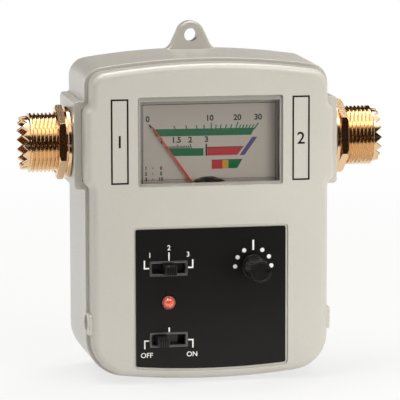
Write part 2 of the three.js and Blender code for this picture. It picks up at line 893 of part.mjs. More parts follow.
// The back half of the case: a deep tray with the sockets' bores in its side lobes, the hanging
// tab, the battery bay, four deep screw wells and two posts for the coupler board.
function rearShell() {
  const rounds = Array.from({ length: edgeSteps + 1 }, (_, i) => {
    const angle = (Math.PI / 2) * (i / edgeSteps);
    const inset = shell.backRound * (1 - Math.cos(angle));
    const depth = shell.depth - shell.backRound * (1 - Math.sin(angle));
    return station(depth, inset, shell.draft, backLobe);
  });
  const outside = loft([station(shell.seamDepth, 0, 0, backLobe), ...rounds]);
  const inside = loft([
    station(shell.seamDepth - overrun, shell.wall, 0, backLobe),
    station(backInside, shell.wall, shell.draft, backLobe),
  ]);
  const tabPlate = plate(tabShape(), backFace - tab.thickness, backFace, roundSides);
  const tabHole = rodAlongDepth(
    tab.holeRadius,
    backFace - tab.thickness - overrun,
    backFace + overrun,
    0,
    tabHeight,
    roundSides,
  );
  const bosses = screwPlaces.map(([side, height]) =>
    rodAlongDepth(caseScrew.bossRadius, caseScrew.meetDepth, backInside + gap, side, height),
  );
  const wells = screwPlaces.map(([side, height]) => {
    const radius = caseScrew.headRadius + gap;
    return rodAlongDepth(radius, caseScrew.seatDepth, backFace + overrun, side, height);
  });
  const shankHoles = screwPlaces.map(([side, height]) => {
    const radius = caseScrew.shankRadius + gap;
    const from = caseScrew.meetDepth - overrun;
    return rodAlongDepth(radius, from, caseScrew.seatDepth + overrun, side, height);
  });
  const lineBack = socket.depth + coupler.lineRadius + gap;
  const postFront = lineBack + coupler.boardThickness + gap;
  const postHeight = couplerHigh - coupler.postDrop;
  const posts = [-1, 1].map((hand) => {
    const side = hand * coupler.postSide;
    return rodAlongDepth(coupler.postRadius, postFront, backInside + gap, side, postHeight);
  });
  const bores = rodAlongSide(
    socket.threadRadius + gap,
    -shell.lobeHalfWidth - overrun,
    shell.lobeHalfWidth + overrun,
    socket.depth,
    socketHeight,
    roundSides,
  );
  const bayParts = batteryBay();
  const hollow = outside.add(tabPlate).subtract(inside).subtract(bores);
  const body = joined([hollow, bayParts.walls, ...bosses, ...posts]);
  const cuts = [
    ...bayParts.cuts,
    ...doorwayCuts(),
    tabHole,
    ...wells,
    ...shankHoles,
    ...notchCuts(),
  ];
  put("rear_shell", cutBy(body, cuts), finishes.casePlastic);
}

// The door tilts back on two stubs in its rounded lower edge. A scoop near its top has ribs for
// the thumb.
function batteryDoor() {
  const half = bay.doorway - gap;
  const panelPart = block([-half, doorInside, door.hingeHeight], [half, backFace, doorTop]);
  const barrel = rodAlongSide(
    door.barrelRadius,
    -half,
    half,
    hingeDepth,
    door.hingeHeight,
    roundSides,
  );
  const stubEnd = bay.doorway + door.stubLength - gap;
  const stubs = rodAlongSide(door.stubRadius, -stubEnd, stubEnd, hingeDepth, door.hingeHeight);
  const gripHeight = doorTop - door.gripDrop;
  const scoop = rodAlongSide(
    door.gripRadius,
    -door.gripHalfWidth,
    door.gripHalfWidth,
    backFace + door.gripRadius - door.gripDepth,
    gripHeight,
    roundSides,
  );
  const ribs = Array.from({ length: door.gripRibs }, (_, i) => {
    const height = gripHeight + (i - (door.gripRibs - 1) / 2) * door.gripRibPitch;
    return rodAlongSide(
      door.gripRibRadius,
      -door.gripHalfWidth + door.gripRibRadius,
      door.gripHalfWidth - door.gripRibRadius,
      backFace - door.gripDepth,
      height,
      tinySides,
    );
  });
  const solid = joined([joined([panelPart, barrel, stubs]).subtract(scoop), ...ribs]);
  put("battery_door", solid, finishes.casePlastic);
}

// One case screw: a pan head with a cross recess and a plain shank.
function caseScrews() {
  screwPlaces.forEach(([side, height], i) => {
    const seat = caseScrew.seatDepth + gap;
    const back = seat + caseScrew.headThickness;
    const head = rodAlongDepth(caseScrew.headRadius, seat, back, side, height, smallSides);
    const shank = rodAlongDepth(
      caseScrew.shankRadius,
      caseScrew.tipDepth,
      seat + caseScrew.headThickness / 2,
      side,
      height,
      tinySides,
    );
    const long = caseScrew.crossLength / 2;
    const thin = caseScrew.crossWidth / 2;
    const floor = back - caseScrew.crossDepth;
    const cross = joined([
      block([side - long, floor, height - thin], [side + long, back + overrun, height + thin]),
      block([side - thin, floor, height - long], [side + thin, back + overrun, height + long]),
    ]);
    put(`case_screw_${i + 1}`, head.add(shank).subtract(cross), finishes.steel);
  });
}

function frontLabel() {
  const back = label.faceDepth + label.thickness;
  const sheet = plate(labelShape(0), label.faceDepth, back);
  put("front_label", cutBy(sheet, controlCuts(-overrun, back + overrun)), finishes.labelFilm);
}

// A slide switch: an open box with three pins behind the panel, and a slider whose lever comes out
// through the slot. The shift is where the lever rests along its travel.
function slideSwitchPair(name, height, shift) {
  const side = slideSwitch.side;
  const baseFront = behindPanel;
  const baseBack = baseFront + slideSwitch.baseThickness;
  const roomHalf = slideSwitch.baseHalfWidth + slideSwitch.stepLength + gap;
  const roomTall = slideSwitch.baseHalfHeight + gap;
  const bodyHalf = roomHalf + slideSwitch.bodyWall;
  const bodyTall = roomTall + slideSwitch.bodyWall;
  const bodyBack = board.frontDepth - gap;
  const can = block(
    [side - bodyHalf, behindPanel, height - bodyTall],
    [side + bodyHalf, bodyBack, height + bodyTall],
  );
  const room = block(
    [side - roomHalf, behindPanel - overrun, height - roomTall],
    [side + roomHalf, baseBack + gap, height + roomTall],
  );
  const pins = switchPinSides().map((place) =>
    block(
      [place - slideSwitch.pinHalfWidth, bodyBack - overrun, height - slideSwitch.pinHalfWidth],
      [place + slideSwitch.pinHalfWidth, boardBack + board.pinReach, height + slideSwitch.pinHalfWidth],
    ),
  );
  put(`${name}_body`, joined([can.subtract(room), ...pins]), finishes.steel);

  const middle = side + shift;
  const base = block(
    [middle - slideSwitch.baseHalfWidth, baseFront, height - slideSwitch.baseHalfHeight],
    [middle + slideSwitch.baseHalfWidth, baseBack, height + slideSwitch.baseHalfHeight],
  );
  const lever = block(
    [middle - slideSwitch.leverHalfWidth, -slideSwitch.leverReach, height - slideSwitch.leverHalfHeight],
    [middle + slideSwitch.leverHalfWidth, baseBack, height + slideSwitch.leverHalfHeight],
  );
  const pitch = (2 * slideSwitch.leverHalfWidth) / (slideSwitch.ribCount + 1);
  const grooves = Array.from({ length: slideSwitch.ribCount }, (_, i) => {
    const place = middle + (i - (slideSwitch.ribCount - 1) / 2) * pitch;
    return block(
      [place - slideSwitch.ribWidth / 2, -slideSwitch.leverReach - overrun, height - overrun * 2],
      [
        place + slideSwitch.ribWidth / 2,
        -slideSwitch.leverReach + slideSwitch.ribCut,
        height + overrun * 2,
      ],
    );
  });
  put(`${name}_slider`, cutBy(base.add(lever), grooves), finishes.blackPlastic);
}

function switchPinSides() {
  return [-1, 0, 1].map((step) => slideSwitch.side + step * slideSwitch.pinPitch);
}

// The lamp: a dome on a short body with a flange, its two legs moulded in.
function statusLamp() {
  const profile = [
    [0, -lamp.reach],
    ...arc(0, 0, lamp.radius, -Math.PI / 2, 0, edgeSteps)
      .slice(1)
      .map((point) => [point.x, point.y - lamp.reach + lamp.radius]),
    [lamp.radius, lamp.bodyDepth - lamp.flangeThickness],
    [lamp.flangeRadius, lamp.bodyDepth - lamp.flangeThickness],
    [lamp.flangeRadius, lamp.bodyDepth],
    [0, lamp.bodyDepth],
  ];
  const body = solidOf(turned(profile, smallSides).translate(lamp.side, 0, lamp.height));
  const legs = [-1, 1].map((hand) => {
    const place = lamp.side + (hand * lamp.legPitch) / 2;
    return block(
      [place - lamp.legHalfWidth, lamp.bodyDepth - overrun, lamp.height - lamp.legHalfWidth],
      [place + lamp.legHalfWidth, boardBack + board.pinReach, lamp.height + lamp.legHalfWidth],
    );
  });
  put("status_lamp", joined([body, ...legs]), finishes.redLens);
}

// The set knob: a skirt, a slightly tapered grip with a chamfered end, a blind bore and a pointer
// cut into the end face.
function setKnob() {
  const end = -knob.reach;
  const profile = [
    [0, end],
    [knob.endRadius - knob.chamfer, end],
    [knob.endRadius, end + knob.chamfer],
    [knob.baseRadius - knob.chamfer, -gap - knob.skirtLength],
    [knob.baseRadius, -gap - knob.skirtLength],
    [knob.baseRadius, -gap],
    [0, -gap],
  ];
  const body = solidOf(turned(profile, roundSides).translate(knob.side, 0, knob.height));
  const bore = rodAlongDepth(
    potentiometer.shaftRadius + gap,
    -gap - knob.boreDepth,
    overrun,
    knob.side,
    knob.height,
  );
  const angle = THREE.MathUtils.degToRad(knob.pointerDegrees);
  const groove = new THREE.BoxGeometry(
    knob.endRadius - knob.pointerInner + overrun,
    knob.pointerDepth + overrun,
    knob.pointerWidth,
  )
    .translate((knob.endRadius + knob.pointerInner + overrun) / 2, 0, 0)
    .rotateY(-angle)
    .translate(knob.side, end + (knob.pointerDepth - overrun) / 2, knob.height);
  put("set_knob", cutBy(body, [bore, solidOf(groove)]), finishes.blackPlastic);
}

function setPotentiometer() {
  const shaftTip = -knob.boreDepth;
  const shaft = rodAlongDepth(
    potentiometer.shaftRadius,
    shaftTip,
    potentiometer.shaftTail,
    knob.side,
    knob.height,
  );
  put("set_shaft", shaft, finishes.brass);
  const back = board.frontDepth - gap;
  const half = potentiometer.halfWidth;
  const housing = block(
    [knob.side - half, behindPanel, knob.height - half],
    [knob.side + half, back, knob.height + half],
  );
  const bush = rodAlongDepth(
    potentiometer.bushRadius,
    potentiometer.bushFrontDepth,
    behindPanel + overrun,
    knob.side,
    knob.height,
    roundSides,
  );
  const hole = rodAlongDepth(
    potentiometer.shaftRadius + gap,
    -overrun,
    potentiometer.shaftTail + gap,
    knob.side,
    knob.height,
  );
  const pins = potentiometerPinSides().map((place) =>
    block(
      [place - potentiometer.pinHalfWidth, back - overrun, knob.height - potentiometer.pinHalfWidth],
      [
        place + potentiometer.pinHalfWidth,
        boardBack + board.pinReach,
        knob.height + potentiometer.pinHalfWidth,
      ],
    ),
  );
  put("set_potentiometer", joined([housing.add(bush).subtract(hole), ...pins]), finishes.steel);
}

function potentiometerPinSides() {
  return [-1, 0, 1].map((step) => knob.side + step * potentiometer.pinPitch);
}

// The main board, with holes for its two screws and for every pin that comes through it.
function mainBoard() {
  const upper = block(
    [-board.halfWidth, board.frontDepth, board.shoulder],
    [board.halfWidth, boardBack, boardTop],
  );
  const lower = block(
    [-board.footHalfWidth, board.frontDepth, board.low],
    [board.footHalfWidth, boardBack, board.shoulder + overrun],
  );
  const pinHole = (side, height, half) =>
    block(
      [side - half - gap, board.frontDepth - overrun, height - half - gap],
      [side + half + gap, boardBack + overrun, height + half + gap],
    );
  const switchHoles = [slideSwitch.rangeHeight, slideSwitch.powerHeight].flatMap((height) =>
    switchPinSides().map((side) => pinHole(side, height, slideSwitch.pinHalfWidth)),
  );
  const potHoles = potentiometerPinSides().map((side) =>
    pinHole(side, knob.height, potentiometer.pinHalfWidth),
  );
  const lampHoles = [-1, 1].map((hand) =>
    pinHole(lamp.side + (hand * lamp.legPitch) / 2, lamp.height, lamp.legHalfWidth),
  );
  const screwHoles = boardScrewPlaces.map(([, side]) =>
    rodAlongDepth(
      board.holeRadius,
      board.frontDepth - overrun,
      boardBack + overrun,
      side,
      board.screwHeight,
    ),
  );
  const cuts = [...switchHoles, ...potHoles, ...lampHoles, ...screwHoles];
  put("main_board", cutBy(upper.add(lower), cuts), finishes.boardGreen);

  boardScrewPlaces.forEach(([hand, side]) => {
    const seat = boardBack + gap;
    const head = rodAlongDepth(
      board.screwHeadRadius,
      seat,
      seat + board.screwHeadThickness,
      side,
      board.screwHeight,
    );
    const shank = rodAlongDepth(
      board.screwShankRadius,
      seat - board.screwLength,
      seat + board.screwHeadThickness / 2,
      side,
      board.screwHeight,
      tinySides,
    );
    put(`board_screw_${hand}`, head.add(shank), finishes.steel);
  });

  const chip = block(
    [-board.chipHalfWidth, boardBack + gap, board.chipHeight - board.chipHalfHeight],
    [
      board.chipHalfWidth,
      boardBack + gap + board.chipThickness,
      board.chipHeight + board.chipHalfHeight,
    ],
  );
  put("control_chip", chip, finishes.blackPlastic);
  const can = rodAlongDepth(
    board.canRadius,
    boardBack + gap,
    boardBack + gap + board.canLength,
    board.canSide,
    board.canHeight,
  );
  put("filter_capacitor", can, finishes.steel);
}

// The meter's clear cover: a shallow hat that stands forward in the panel's window, on a flange.
const meterFront = behindPanel + meter.flangeThickness + gap;
const meterFloor = meter.backDepth - meter.wall;

function meterWindow() {
  const flange = block(
    [-meter.halfWidth, behindPanel, meterLow],
    [meter.halfWidth, behindPanel + meter.flangeThickness, meterHigh],
  );
  const side = panel.windowHalfWidth - gap;
  const low = windowLow + gap;
  const high = windowHigh - gap;
  const crown = block([-side, meter.paneFront, low], [side, behindPanel + gap, high]);
  const hollow = block(
    [-side + meter.paneThickness, meter.paneFront + meter.paneThickness, low + meter.paneThickness],
    [side - meter.paneThickness, behindPanel + overrun, high - meter.paneThickness],
  );
  put("meter_window", flange.add(crown).subtract(hollow), finishes.clearAcrylic);
}

// The meter's case: an open box with two screw ears, dial posts and bridge posts.
function meterCase() {
  const tray = block(
    [-meter.halfWidth, meterFront, meterLow],
    [meter.halfWidth, meter.backDepth, meterHigh],
  );
  const room = block(
    [-meter.halfWidth + meter.wall, meterFront - overrun, meterLow + meter.wall],
    [meter.halfWidth - meter.wall, meterFloor, meterHigh - meter.wall],
  );
  const ears = [-1, 1].map((hand) => {
    const near = hand * (meter.halfWidth - meter.wall);
    const far = hand * (meter.halfWidth + meter.earReach);
    return block(
      [Math.min(near, far), meter.earFrontDepth, earHeight - meter.earHalfHeight],
      [
        Math.max(near, far),
        meter.earFrontDepth + meter.earThickness,
        earHeight + meter.earHalfHeight,
      ],
    );
  });
  const earHoles = [-1, 1].map((hand) =>
    rodAlongDepth(
      meter.earScrewShankRadius + gap,
      meter.earFrontDepth - overrun,
      meter.earFrontDepth + meter.earThickness + overrun,
      hand * meter.earScrewSide,
      earHeight,
      tinySides,
    ),
  );
  const dialBack = meter.dialDepth + meter.dialThickness;
  const dialPosts = [-1, 1].flatMap((hand) =>
    [dialLow + meter.dialPostRise, meterHigh - meter.dialPostDrop].map((height) =>
      rodAlongDepth(
        meter.postRadius,
        dialBack + gap,
        meterFloor + gap,
        hand * meter.dialPostSide,
        height,
        tinySides,
      ),
    ),
  );
  const bridgeBack = meter.bridgeFrontDepth + meter.bridgeThickness;
  const bridgePosts = [-1, 1].map((hand) =>
    rodAlongDepth(
      meter.postRadius,
      bridgeBack + gap,
      meterFloor + gap,
      hand * meter.bridgePostSide,
      pivotHeight,
      tinySides,
    ),
  );
  const slots = [-1, 1].map((hand) => {
    const side = hand * meter.terminalSide;
    const back = meterFloor - gap / 2;
    return block(
      [
        side - meter.terminalHalfWidth - gap,
        back - meter.terminalThickness - gap,
        meterLow - overrun,
      ],
      [side + meter.terminalHalfWidth + gap, back + gap, meterLow + meter.wall + overrun],
    );
  });
  const bearing = rodAlongDepth(
    meter.pinHoleRadius,
    meterFloor - overrun,
    meterFloor + gap,
    0,
    pivotHeight,
    tinySides,
  );
  const body = joined([tray.subtract(room), ...ears, ...dialPosts, ...bridgePosts]);
  put("meter_case", cutBy(body, [...earHoles, ...slots, bearing]), finishes.meterPlastic);
}

// What holds the meter and joins it to the board: two ear screws and two flat terminals.
function meterFixings() {
  [
    ["left", -1],
    ["right", 1],
  ].forEach(([name, hand]) => {
    const seat = meter.earFrontDepth + meter.earThickness + gap;
    const side = hand * meter.earScrewSide;
    const head = rodAlongDepth(
      meter.earScrewHeadRadius,
      seat,
      seat + meter.earScrewHeadThickness,
      side,
      earHeight,
    );
    const shank = rodAlongDepth(
      meter.earScrewShankRadius,
      seat - meter.earScrewLength,
      seat + meter.earScrewHeadThickness / 2,
      side,
      earHeight,
      tinySides,
    );
    put(`meter_screw_${name}`, head.add(shank), finishes.steel);
    const back = meterFloor - gap / 2;
    const place = hand * meter.terminalSide;
    const terminal = block(
      [place - meter.terminalHalfWidth, back - meter.terminalThickness, meterLow - meter.terminalBelow],
      [place + meter.terminalHalfWidth, back, meterLow + meter.terminalAbove],
    );
    put(`meter_terminal_${name}`, terminal, finishes.brass);
  });
}

function meterDial() {
  const outer = meter.halfWidth - meter.wall - gap;
  const top = meterHigh - meter.wall - gap;
  const back = meter.dialDepth + meter.dialThickness;
  const sheet = block([-outer, meter.dialDepth, dialLow], [outer, back, top]);
  const cutout = rodAlongDepth(
    meter.dialCutRadius,
    meter.dialDepth - overrun,
    back + overrun,
    0,
    pivotHeight,
    roundSides,
  );
  put("meter_dial", sheet.subtract(cutout), finishes.dialPaint);
}

// What turns in the meter, built upright round the pivot and then swung to its rest.
function meterMovement() {
  const swing = new THREE.Group();
  swing.position.set(0, 0, pivotHeight);
  swing.rotation.y = THREE.MathUtils.degToRad(meter.needleRestDegrees);
  placed.add(swing);

  const needleBack = meter.needleDepth + meter.needleThickness;
  const pointer = new THREE.Shape();
  pointer.moveTo(-meter.needleRootWidth / 2, 0);
  pointer.lineTo(meter.needleRootWidth / 2, 0);
  pointer.lineTo(meter.needleTipWidth / 2, meter.needleLength);
  pointer.lineTo(-meter.needleTipWidth / 2, meter.needleLength);
  const tail = block(
    [-meter.tailWidth / 2, meter.needleDepth, -meter.tailLength],
    [meter.tailWidth / 2, needleBack, 0],
  );
  const hub = rodAlongDepth(meter.hubRadius, meter.needleDepth, needleBack, 0, 0);
  const pinHole = rodAlongDepth(
    meter.pinHoleRadius,
    meter.needleDepth - overrun,
    needleBack + overrun,
    0,
    0,
    tinySides,
  );
  const needle = joined([plate(pointer, meter.needleDepth, needleBack), tail, hub]);
  put("meter_needle", needle.subtract(pinHole), finishes.needlePaint, swing);

  const coilHull = block(
    [-meter.coilWidth / 2, meter.coilFrontDepth, -meter.coilOuter],
    [meter.coilWidth / 2, meter.coilBackDepth, meter.coilOuter],
  );
  const coilRoom = block(
    [-meter.coilWidth, meter.coilFrontDepth + meter.coilBar, -meter.coilInner],
    [meter.coilWidth, meter.coilBackDepth - meter.coilBar, meter.coilInner],
  );
  const frontPin = rodAlongDepth(
    meter.pinRadius,
    meter.needleDepth,
    meter.coilFrontDepth + meter.coilBar / 2,
    0,
    0,
    tinySides,
  );
  const backPin = rodAlongDepth(
    meter.pinRadius,
    meter.coilBackDepth - meter.coilBar / 2,
    meterFloor + gap / 2,
    0,
    0,
    tinySides,
  );
  const coil = joined([coilHull.subtract(coilRoom), frontPin, backPin]);
  put("meter_coil", coil, finishes.copperWire, swing);
  put("meter_hairspring", hairspring(), finishes.brass, swing);
}

// A flat spiral strip, wound outwards at a steady rate from its inner to its outer radius.
function hairspring() {
  const steps = meter.springTurns * meter.springStepsPerTurn;
  const edge = (offset) =>
    Array.from({ length: steps + 1 }, (_, i) => {
      const share = i / steps;
      const angle = share * meter.springTurns * Math.PI * 2;
      const radius = meter.springInner + (meter.springOuter - meter.springInner) * share + offset;
      return new THREE.Vector2(radius * Math.cos(angle), radius * Math.sin(angle));
    });
  const outline = [...edge(meter.springBand), ...edge(0).reverse()];
  const back = meter.springDepth + meter.springThickness;
  return plate(new THREE.Shape(outline), meter.springDepth, back);
}

// The fixed magnet parts round the coil, and the bridge that carries the front pivot.
function meterMagnet() {
  const height = pivotHeight;
  const yoke = rodAlongDepth(
    meter.yokeOuter,
    meter.yokeFrontDepth,
    meterFloor - gap,
    0,
    height,
    roundSides,
  );
  const yokeHole = rodAlongDepth(
    meter.yokeInner,
    meter.yokeFrontDepth - overrun,
    meterFloor + overrun,
    0,
    height,
    roundSides,
  );
  put("meter_yoke", yoke.subtract(yokeHole), finishes.steel);
  const core = rodAlongDepth(
    meter.coreRadius,
    meter.coreFrontDepth,
    meter.coreBackDepth,
    0,
    height,
    roundSides,
  );
  const lugReach = meter.yokeInner - gap;
  const lugs = block(
    [-lugReach, meter.yokeFrontDepth, height - meter.coreLugHalfHeight],
    [lugReach, meter.coreBackDepth, height + meter.coreLugHalfHeight],
  );
  put("meter_core", core.add(lugs), finishes.steel);
  const bridgeBack = meter.bridgeFrontDepth + meter.bridgeThickness;
  const bar = block(
    [-meter.bridgeHalfWidth, meter.bridgeFrontDepth, height - meter.bridgeHalfHeight],
    [meter.bridgeHalfWidth, bridgeBack, height + meter.bridgeHalfHeight],
  );
  const jewel = rodAlongDepth(
    meter.pinHoleRadius,
    meter.bridgeFrontDepth - overrun,
    bridgeBack + overrun,
    0,
    height,
    tinySides,
  );
  put("meter_bridge", bar.subtract(jewel), finishes.brass);
}

// The battery stands upright on the bay's shelf, with two studs on top under the snap.
function batteryAndSnap() {
  const body = block(
    [-battery.halfWidth, batteryFront, battery.low],
    [battery.halfWidth, batteryBack, batteryTop],
  );
  const middle = (batteryFront + batteryBack) / 2;
  const studTop = batteryTop + battery.studHeight;
  const plug = rodAlongHeight(
    battery.studRadius,
    batteryTop - overrun,
    studTop,
    -battery.studSide,
    middle,
  );
  const cup = rodAlongHeight(
    battery.socketRadius,
    batteryTop - overrun,
    studTop,
    battery.studSide,
    middle,
  );
  put("battery", joined([body, plug, cup]), finishes.batteryJacket);

  const snapLow = batteryTop + gap;
  const snapTop = snapLow + battery.snapThickness;
  const snapPlate = block(
    [-battery.snapHalfWidth, middle - battery.snapHalfDepth, snapLow],
    [battery.snapHalfWidth, middle + battery.snapHalfDepth, snapTop],
  );
  const plugRoom = rodAlongHeight(
    battery.studRadius + gap,
    snapLow - overrun,
    studTop + gap,
    -battery.studSide,
    middle,
  );
  const cupRoom = rodAlongHeight(
    battery.socketRadius + gap,
    snapLow - overrun,
    studTop + gap,
    battery.studSide,
    middle,
  );
  put("battery_snap", cutBy(snapPlate, [plugRoom, cupRoom]), finishes.blackPlastic);
}

// A lead of round section along its route.
function batteryLead(name, route, material) {
  const path = new THREE.CatmullRomCurve3(route.map((point) => new THREE.Vector3(...point)));
  const section = new THREE.Shape(
    Array.from({ length: lead.sides }, (_, i) => {
      const angle = (Math.PI * 2 * i) / lead.sides;
      return new THREE.Vector2(lead.radius * Math.cos(angle), lead.radius * Math.sin(angle));
    }),
  );
  const tube = new THREE.ExtrudeGeometry(section, { steps: lead.steps, extrudePath: path });
  put(name, solidOf(tube), material);
}

// The outline of a socket's barrel as [radius, place] pairs: out along the bore's side of the wall
// and back along the thread.
function barrelProfile() {
  const flangeBack = -shell.wall - gap - socket.flangeThickness;
  const flangeFront = -shell.wall - gap;
  const ridges = Array.from({ length: socket.threadCrests }, (_, i) => {
    const place = socket.threadStart + (i + 1) * socket.threadPitch;
    return [
      [socket.threadRadius, place - socket.threadPitch / 2],
      [socket.threadRadius - socket.threadCut, place],
    ];
  }).flat();
  return [
    [socket.rearBoreRadius, flangeBack],
    [socket.flangeRadius, flangeBack],
    [socket.flangeRadius, flangeFront],
    [socket.threadRadius, flangeFront],
    [socket.threadRadius, socket.threadStart - socket.threadPitch / 2],
    [socket.threadRadius - socket.threadCut, socket.threadStart],
    ...ridges,
    [socket.noseRadius, socket.noseStart],
    [socket.noseRadius, socket.length - socket.noseChamfer],
    [socket.noseRadius - socket.noseChamfer, socket.length],
    [socket.boreRadius, socket.length],
    [socket.boreRadius, socket.shoulder],
    [socket.rearBoreRadius, socket.shoulder],
    [socket.rearBoreRadius, flangeBack],
  ];
}

// The V cuts that leave a ring of teeth on the socket's nose.
function toothCuts() {
  const half = ((Math.PI * socket.noseRadius) / socket.toothCount) * socket.toothShare;
  const inner = socket.boreRadius - overrun;
  const outer = socket.noseRadius + overrun;
  const vee = new THREE.Shape();
  const over = 1 + overrun / socket.toothDepth;
  vee.moveTo(socket.length - socket.toothDepth, 0);
  vee.lineTo(socket.length + overrun, half * over);
  vee.lineTo(socket.length + overrun, -half * over);
  return Array.from({ length: socket.toothCount }, (_, i) => {
    const wedge = new THREE.ExtrudeGeometry(vee, { depth: outer - inner, bevelEnabled: false });
    wedge.translate(0, 0, inner);
    wedge.rotateX((Math.PI * 2 * i) / socket.toothCount);
    return solidOf(wedge);
  });
}

// One coaxial socket: threaded barrel, insulator, centre contact, washer and nut, drawn along +X
// from the case's side face and turned round for the left side.
function coaxSocket(name, hand) {
  const group = new THREE.Group();
  group.position.set(hand * shell.lobeHalfWidth, socket.depth, socketHeight);
  group.rotation.z = hand > 0 ? 0 : Math.PI;
  placed.add(group);

  const barrel = solidOf(turnedAlongSide(barrelProfile()));
  put(`${name}_socket_barrel`, cutBy(barrel, toothCuts()), finishes.goldPlate, group);

  const insulatorBody = solidOf(
    turnedAlongSide([
      [socket.contactRadius + gap, socket.insulatorBack],
      [socket.rearBoreRadius - gap, socket.insulatorBack],
      [socket.rearBoreRadius - gap, socket.shoulder + gap],
      [socket.boreRadius - gap, socket.shoulder + gap],
      [socket.boreRadius - gap, socket.insulatorFace],
      [socket.contactRadius + gap, socket.insulatorFace],
      [socket.contactRadius + gap, socket.insulatorBack],
    ]),
  );
  put(`${name}_socket_insulator`, insulatorBody, finishes.insulator, group);

  const contact = solidOf(
    turnedAlongSide(
      [
        [0, -socket.contactTail],
        [socket.contactTailRadius, -socket.contactTail],
        [socket.contactTailRadius, socket.insulatorBack],
        [socket.contactRadius, socket.insulatorBack],
        [socket.contactRadius, socket.insulatorFace],
        [socket.contactBore, socket.insulatorFace],
        [socket.contactBore, socket.insulatorFace - socket.contactBoreDepth],
        [0, socket.insulatorFace - socket.contactBoreDepth],
      ],
      smallSides,
    ),
  );
  put(`${name}_socket_contact`, contact, finishes.goldPlate, group);

  const washerBack = gap;
  const washerFront = washerBack + socket.washerThickness;
  const clear = socket.threadRadius + gap;
  const washer = solidOf(
    turnedAlongSide([
      [clear, washerBack],
      [socket.washerRadius, washerBack],
      [socket.washerRadius, washerFront],
      [clear, washerFront],
      [clear, washerBack],
    ]),
  );
  put(`${name}_socket_washer`, washer, finishes.goldPlate, group);

  const nutBack = washerFront + gap;
  const nutFront = nutBack + socket.nutThickness;
  const hex = rodAlongSide(socket.nutCornerRadius, nutBack, nutFront, 0, 0, hexSides);
  const crown = solidOf(
    turnedAlongSide([
      [0, nutBack - overrun],
      [socket.nutCornerRadius, nutBack - overrun],
      [socket.nutCornerRadius, nutFront - socket.nutChamfer],
      [socket.nutCrownRadius, nutFront],
      [0, nutFront],
    ]),
  );
  const nutBore = rodAlongSide(clear, nutBack - overrun, nutFront + overrun, 0, 0, roundSides);
  put(`${name}_socket_nut`, hex.intersect(crown).subtract(nutBore), finishes.goldPlate, group);
}

// The line between the two centre contacts, and the small board that senses it.
function couplerLine() {
  const half = shell.lobeHalfWidth - socket.contactTail - gap;
  const line = rodAlongSide(coupler.lineRadius, -half, half, socket.depth, socketHeight);
  put("through_line", line, finishes.brass);
  const front = socket.depth + coupler.lineRadius + gap;
  const plateSolid = block(
    [-coupler.boardHalfWidth, front, couplerLow],
    [coupler.boardHalfWidth, front + coupler.boardThickness, couplerHigh],
  );
  put("coupler_board", plateSolid, finishes.boardGreen);
}

frontShell();
rearShell();
batteryDoor();
caseScrews();
frontLabel();
slideSwitchPair("range_switch", slideSwitch.rangeHeight, 0);
slideSwitchPair("power_switch", slideSwitch.powerHeight, -slideSwitch.stepLength);
statusLamp();
setKnob();
setPotentiometer();
mainBoard();
meterWindow();
meterCase();
meterFixings();
meterDial();
meterMovement();
meterMagnet();
batteryAndSnap();
batteryLead("battery_lead_red", redRoute, finishes.redWire);
batteryLead("battery_lead_black", blackRoute, finishes.blackWire);
coaxSocket("left", -1);
coaxSocket("right", 1);
couplerLine();

// The whole part is moved so that its box stands on Z = 0 with its middle at Y = 0.
const box = new THREE.Box3().setFromObject(placed, true);
placed.position.set(0, -(box.min.y + box.max.y) / 2, -box.min.z);

export default tester;
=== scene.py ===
"""The looks of a hand-held in-line antenna tester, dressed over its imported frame.

Shapes are drawn in the panel's own millimetres: X to the right, Y back from the front face and Z up
from the foot of the case. They are carried into the frame's metres when their mesh is made.
"""

import logging
import math
from collections.abc import Callable
from dataclasses import dataclass
from enum import Enum

import bmesh
import bpy
import numpy as np
from mathutils import Matrix, Vector


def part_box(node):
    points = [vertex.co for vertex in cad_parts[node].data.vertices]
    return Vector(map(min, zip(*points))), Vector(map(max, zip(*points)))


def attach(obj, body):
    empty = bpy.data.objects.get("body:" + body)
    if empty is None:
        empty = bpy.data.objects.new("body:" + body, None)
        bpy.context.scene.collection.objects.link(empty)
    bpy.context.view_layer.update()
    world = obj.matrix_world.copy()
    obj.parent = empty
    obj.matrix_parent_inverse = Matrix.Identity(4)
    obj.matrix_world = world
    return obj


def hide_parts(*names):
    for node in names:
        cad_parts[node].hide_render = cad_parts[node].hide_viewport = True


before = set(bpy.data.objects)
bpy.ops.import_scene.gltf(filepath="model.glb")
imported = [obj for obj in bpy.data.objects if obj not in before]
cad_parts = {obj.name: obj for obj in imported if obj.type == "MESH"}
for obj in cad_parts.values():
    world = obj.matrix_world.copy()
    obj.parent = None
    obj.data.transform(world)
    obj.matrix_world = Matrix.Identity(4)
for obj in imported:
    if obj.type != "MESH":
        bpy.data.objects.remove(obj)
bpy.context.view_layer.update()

logging.basicConfig(level=logging.INFO, format="%(levelname)s %(message)s")
log = logging.getLogger("antenna_tester")

Array = np.ndarray
Outline = Callable[[float], Array]  # gives an outline, grown outwards by a length
MM = 0.001
WELD = 0.0005  # points nearer than this, in millimetres, are one
SHARP_DEGREES = 32  # edges that turn more than this stay crisp
OVERRUN = 1.0  # how far every cutter runs past the face that it cuts
BITE = 0.3  # how far a joined solid reaches into the one that carries it
QUARTER = math.pi / 2
SIDES = 96  # divisions of a round thing that shows
FEW_SIDES = 32  # divisions of a small or hidden one

# Where the panel's own zero lies in the frame, from two nodes whose places are known: the front
# shell's foremost face is the zero of depth, and the main board's foot stands 4.5 above the case's.
BOARD_FOOT = 4.5
DEPTH_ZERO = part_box("front_shell")[0].y / MM
HEIGHT_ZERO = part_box("main_board")[0].z / MM - BOARD_FOOT
TO_FRAME = Matrix.Translation((0, DEPTH_ZERO * MM, HEIGHT_ZERO * MM)) @ Matrix.Scale(MM, 4)


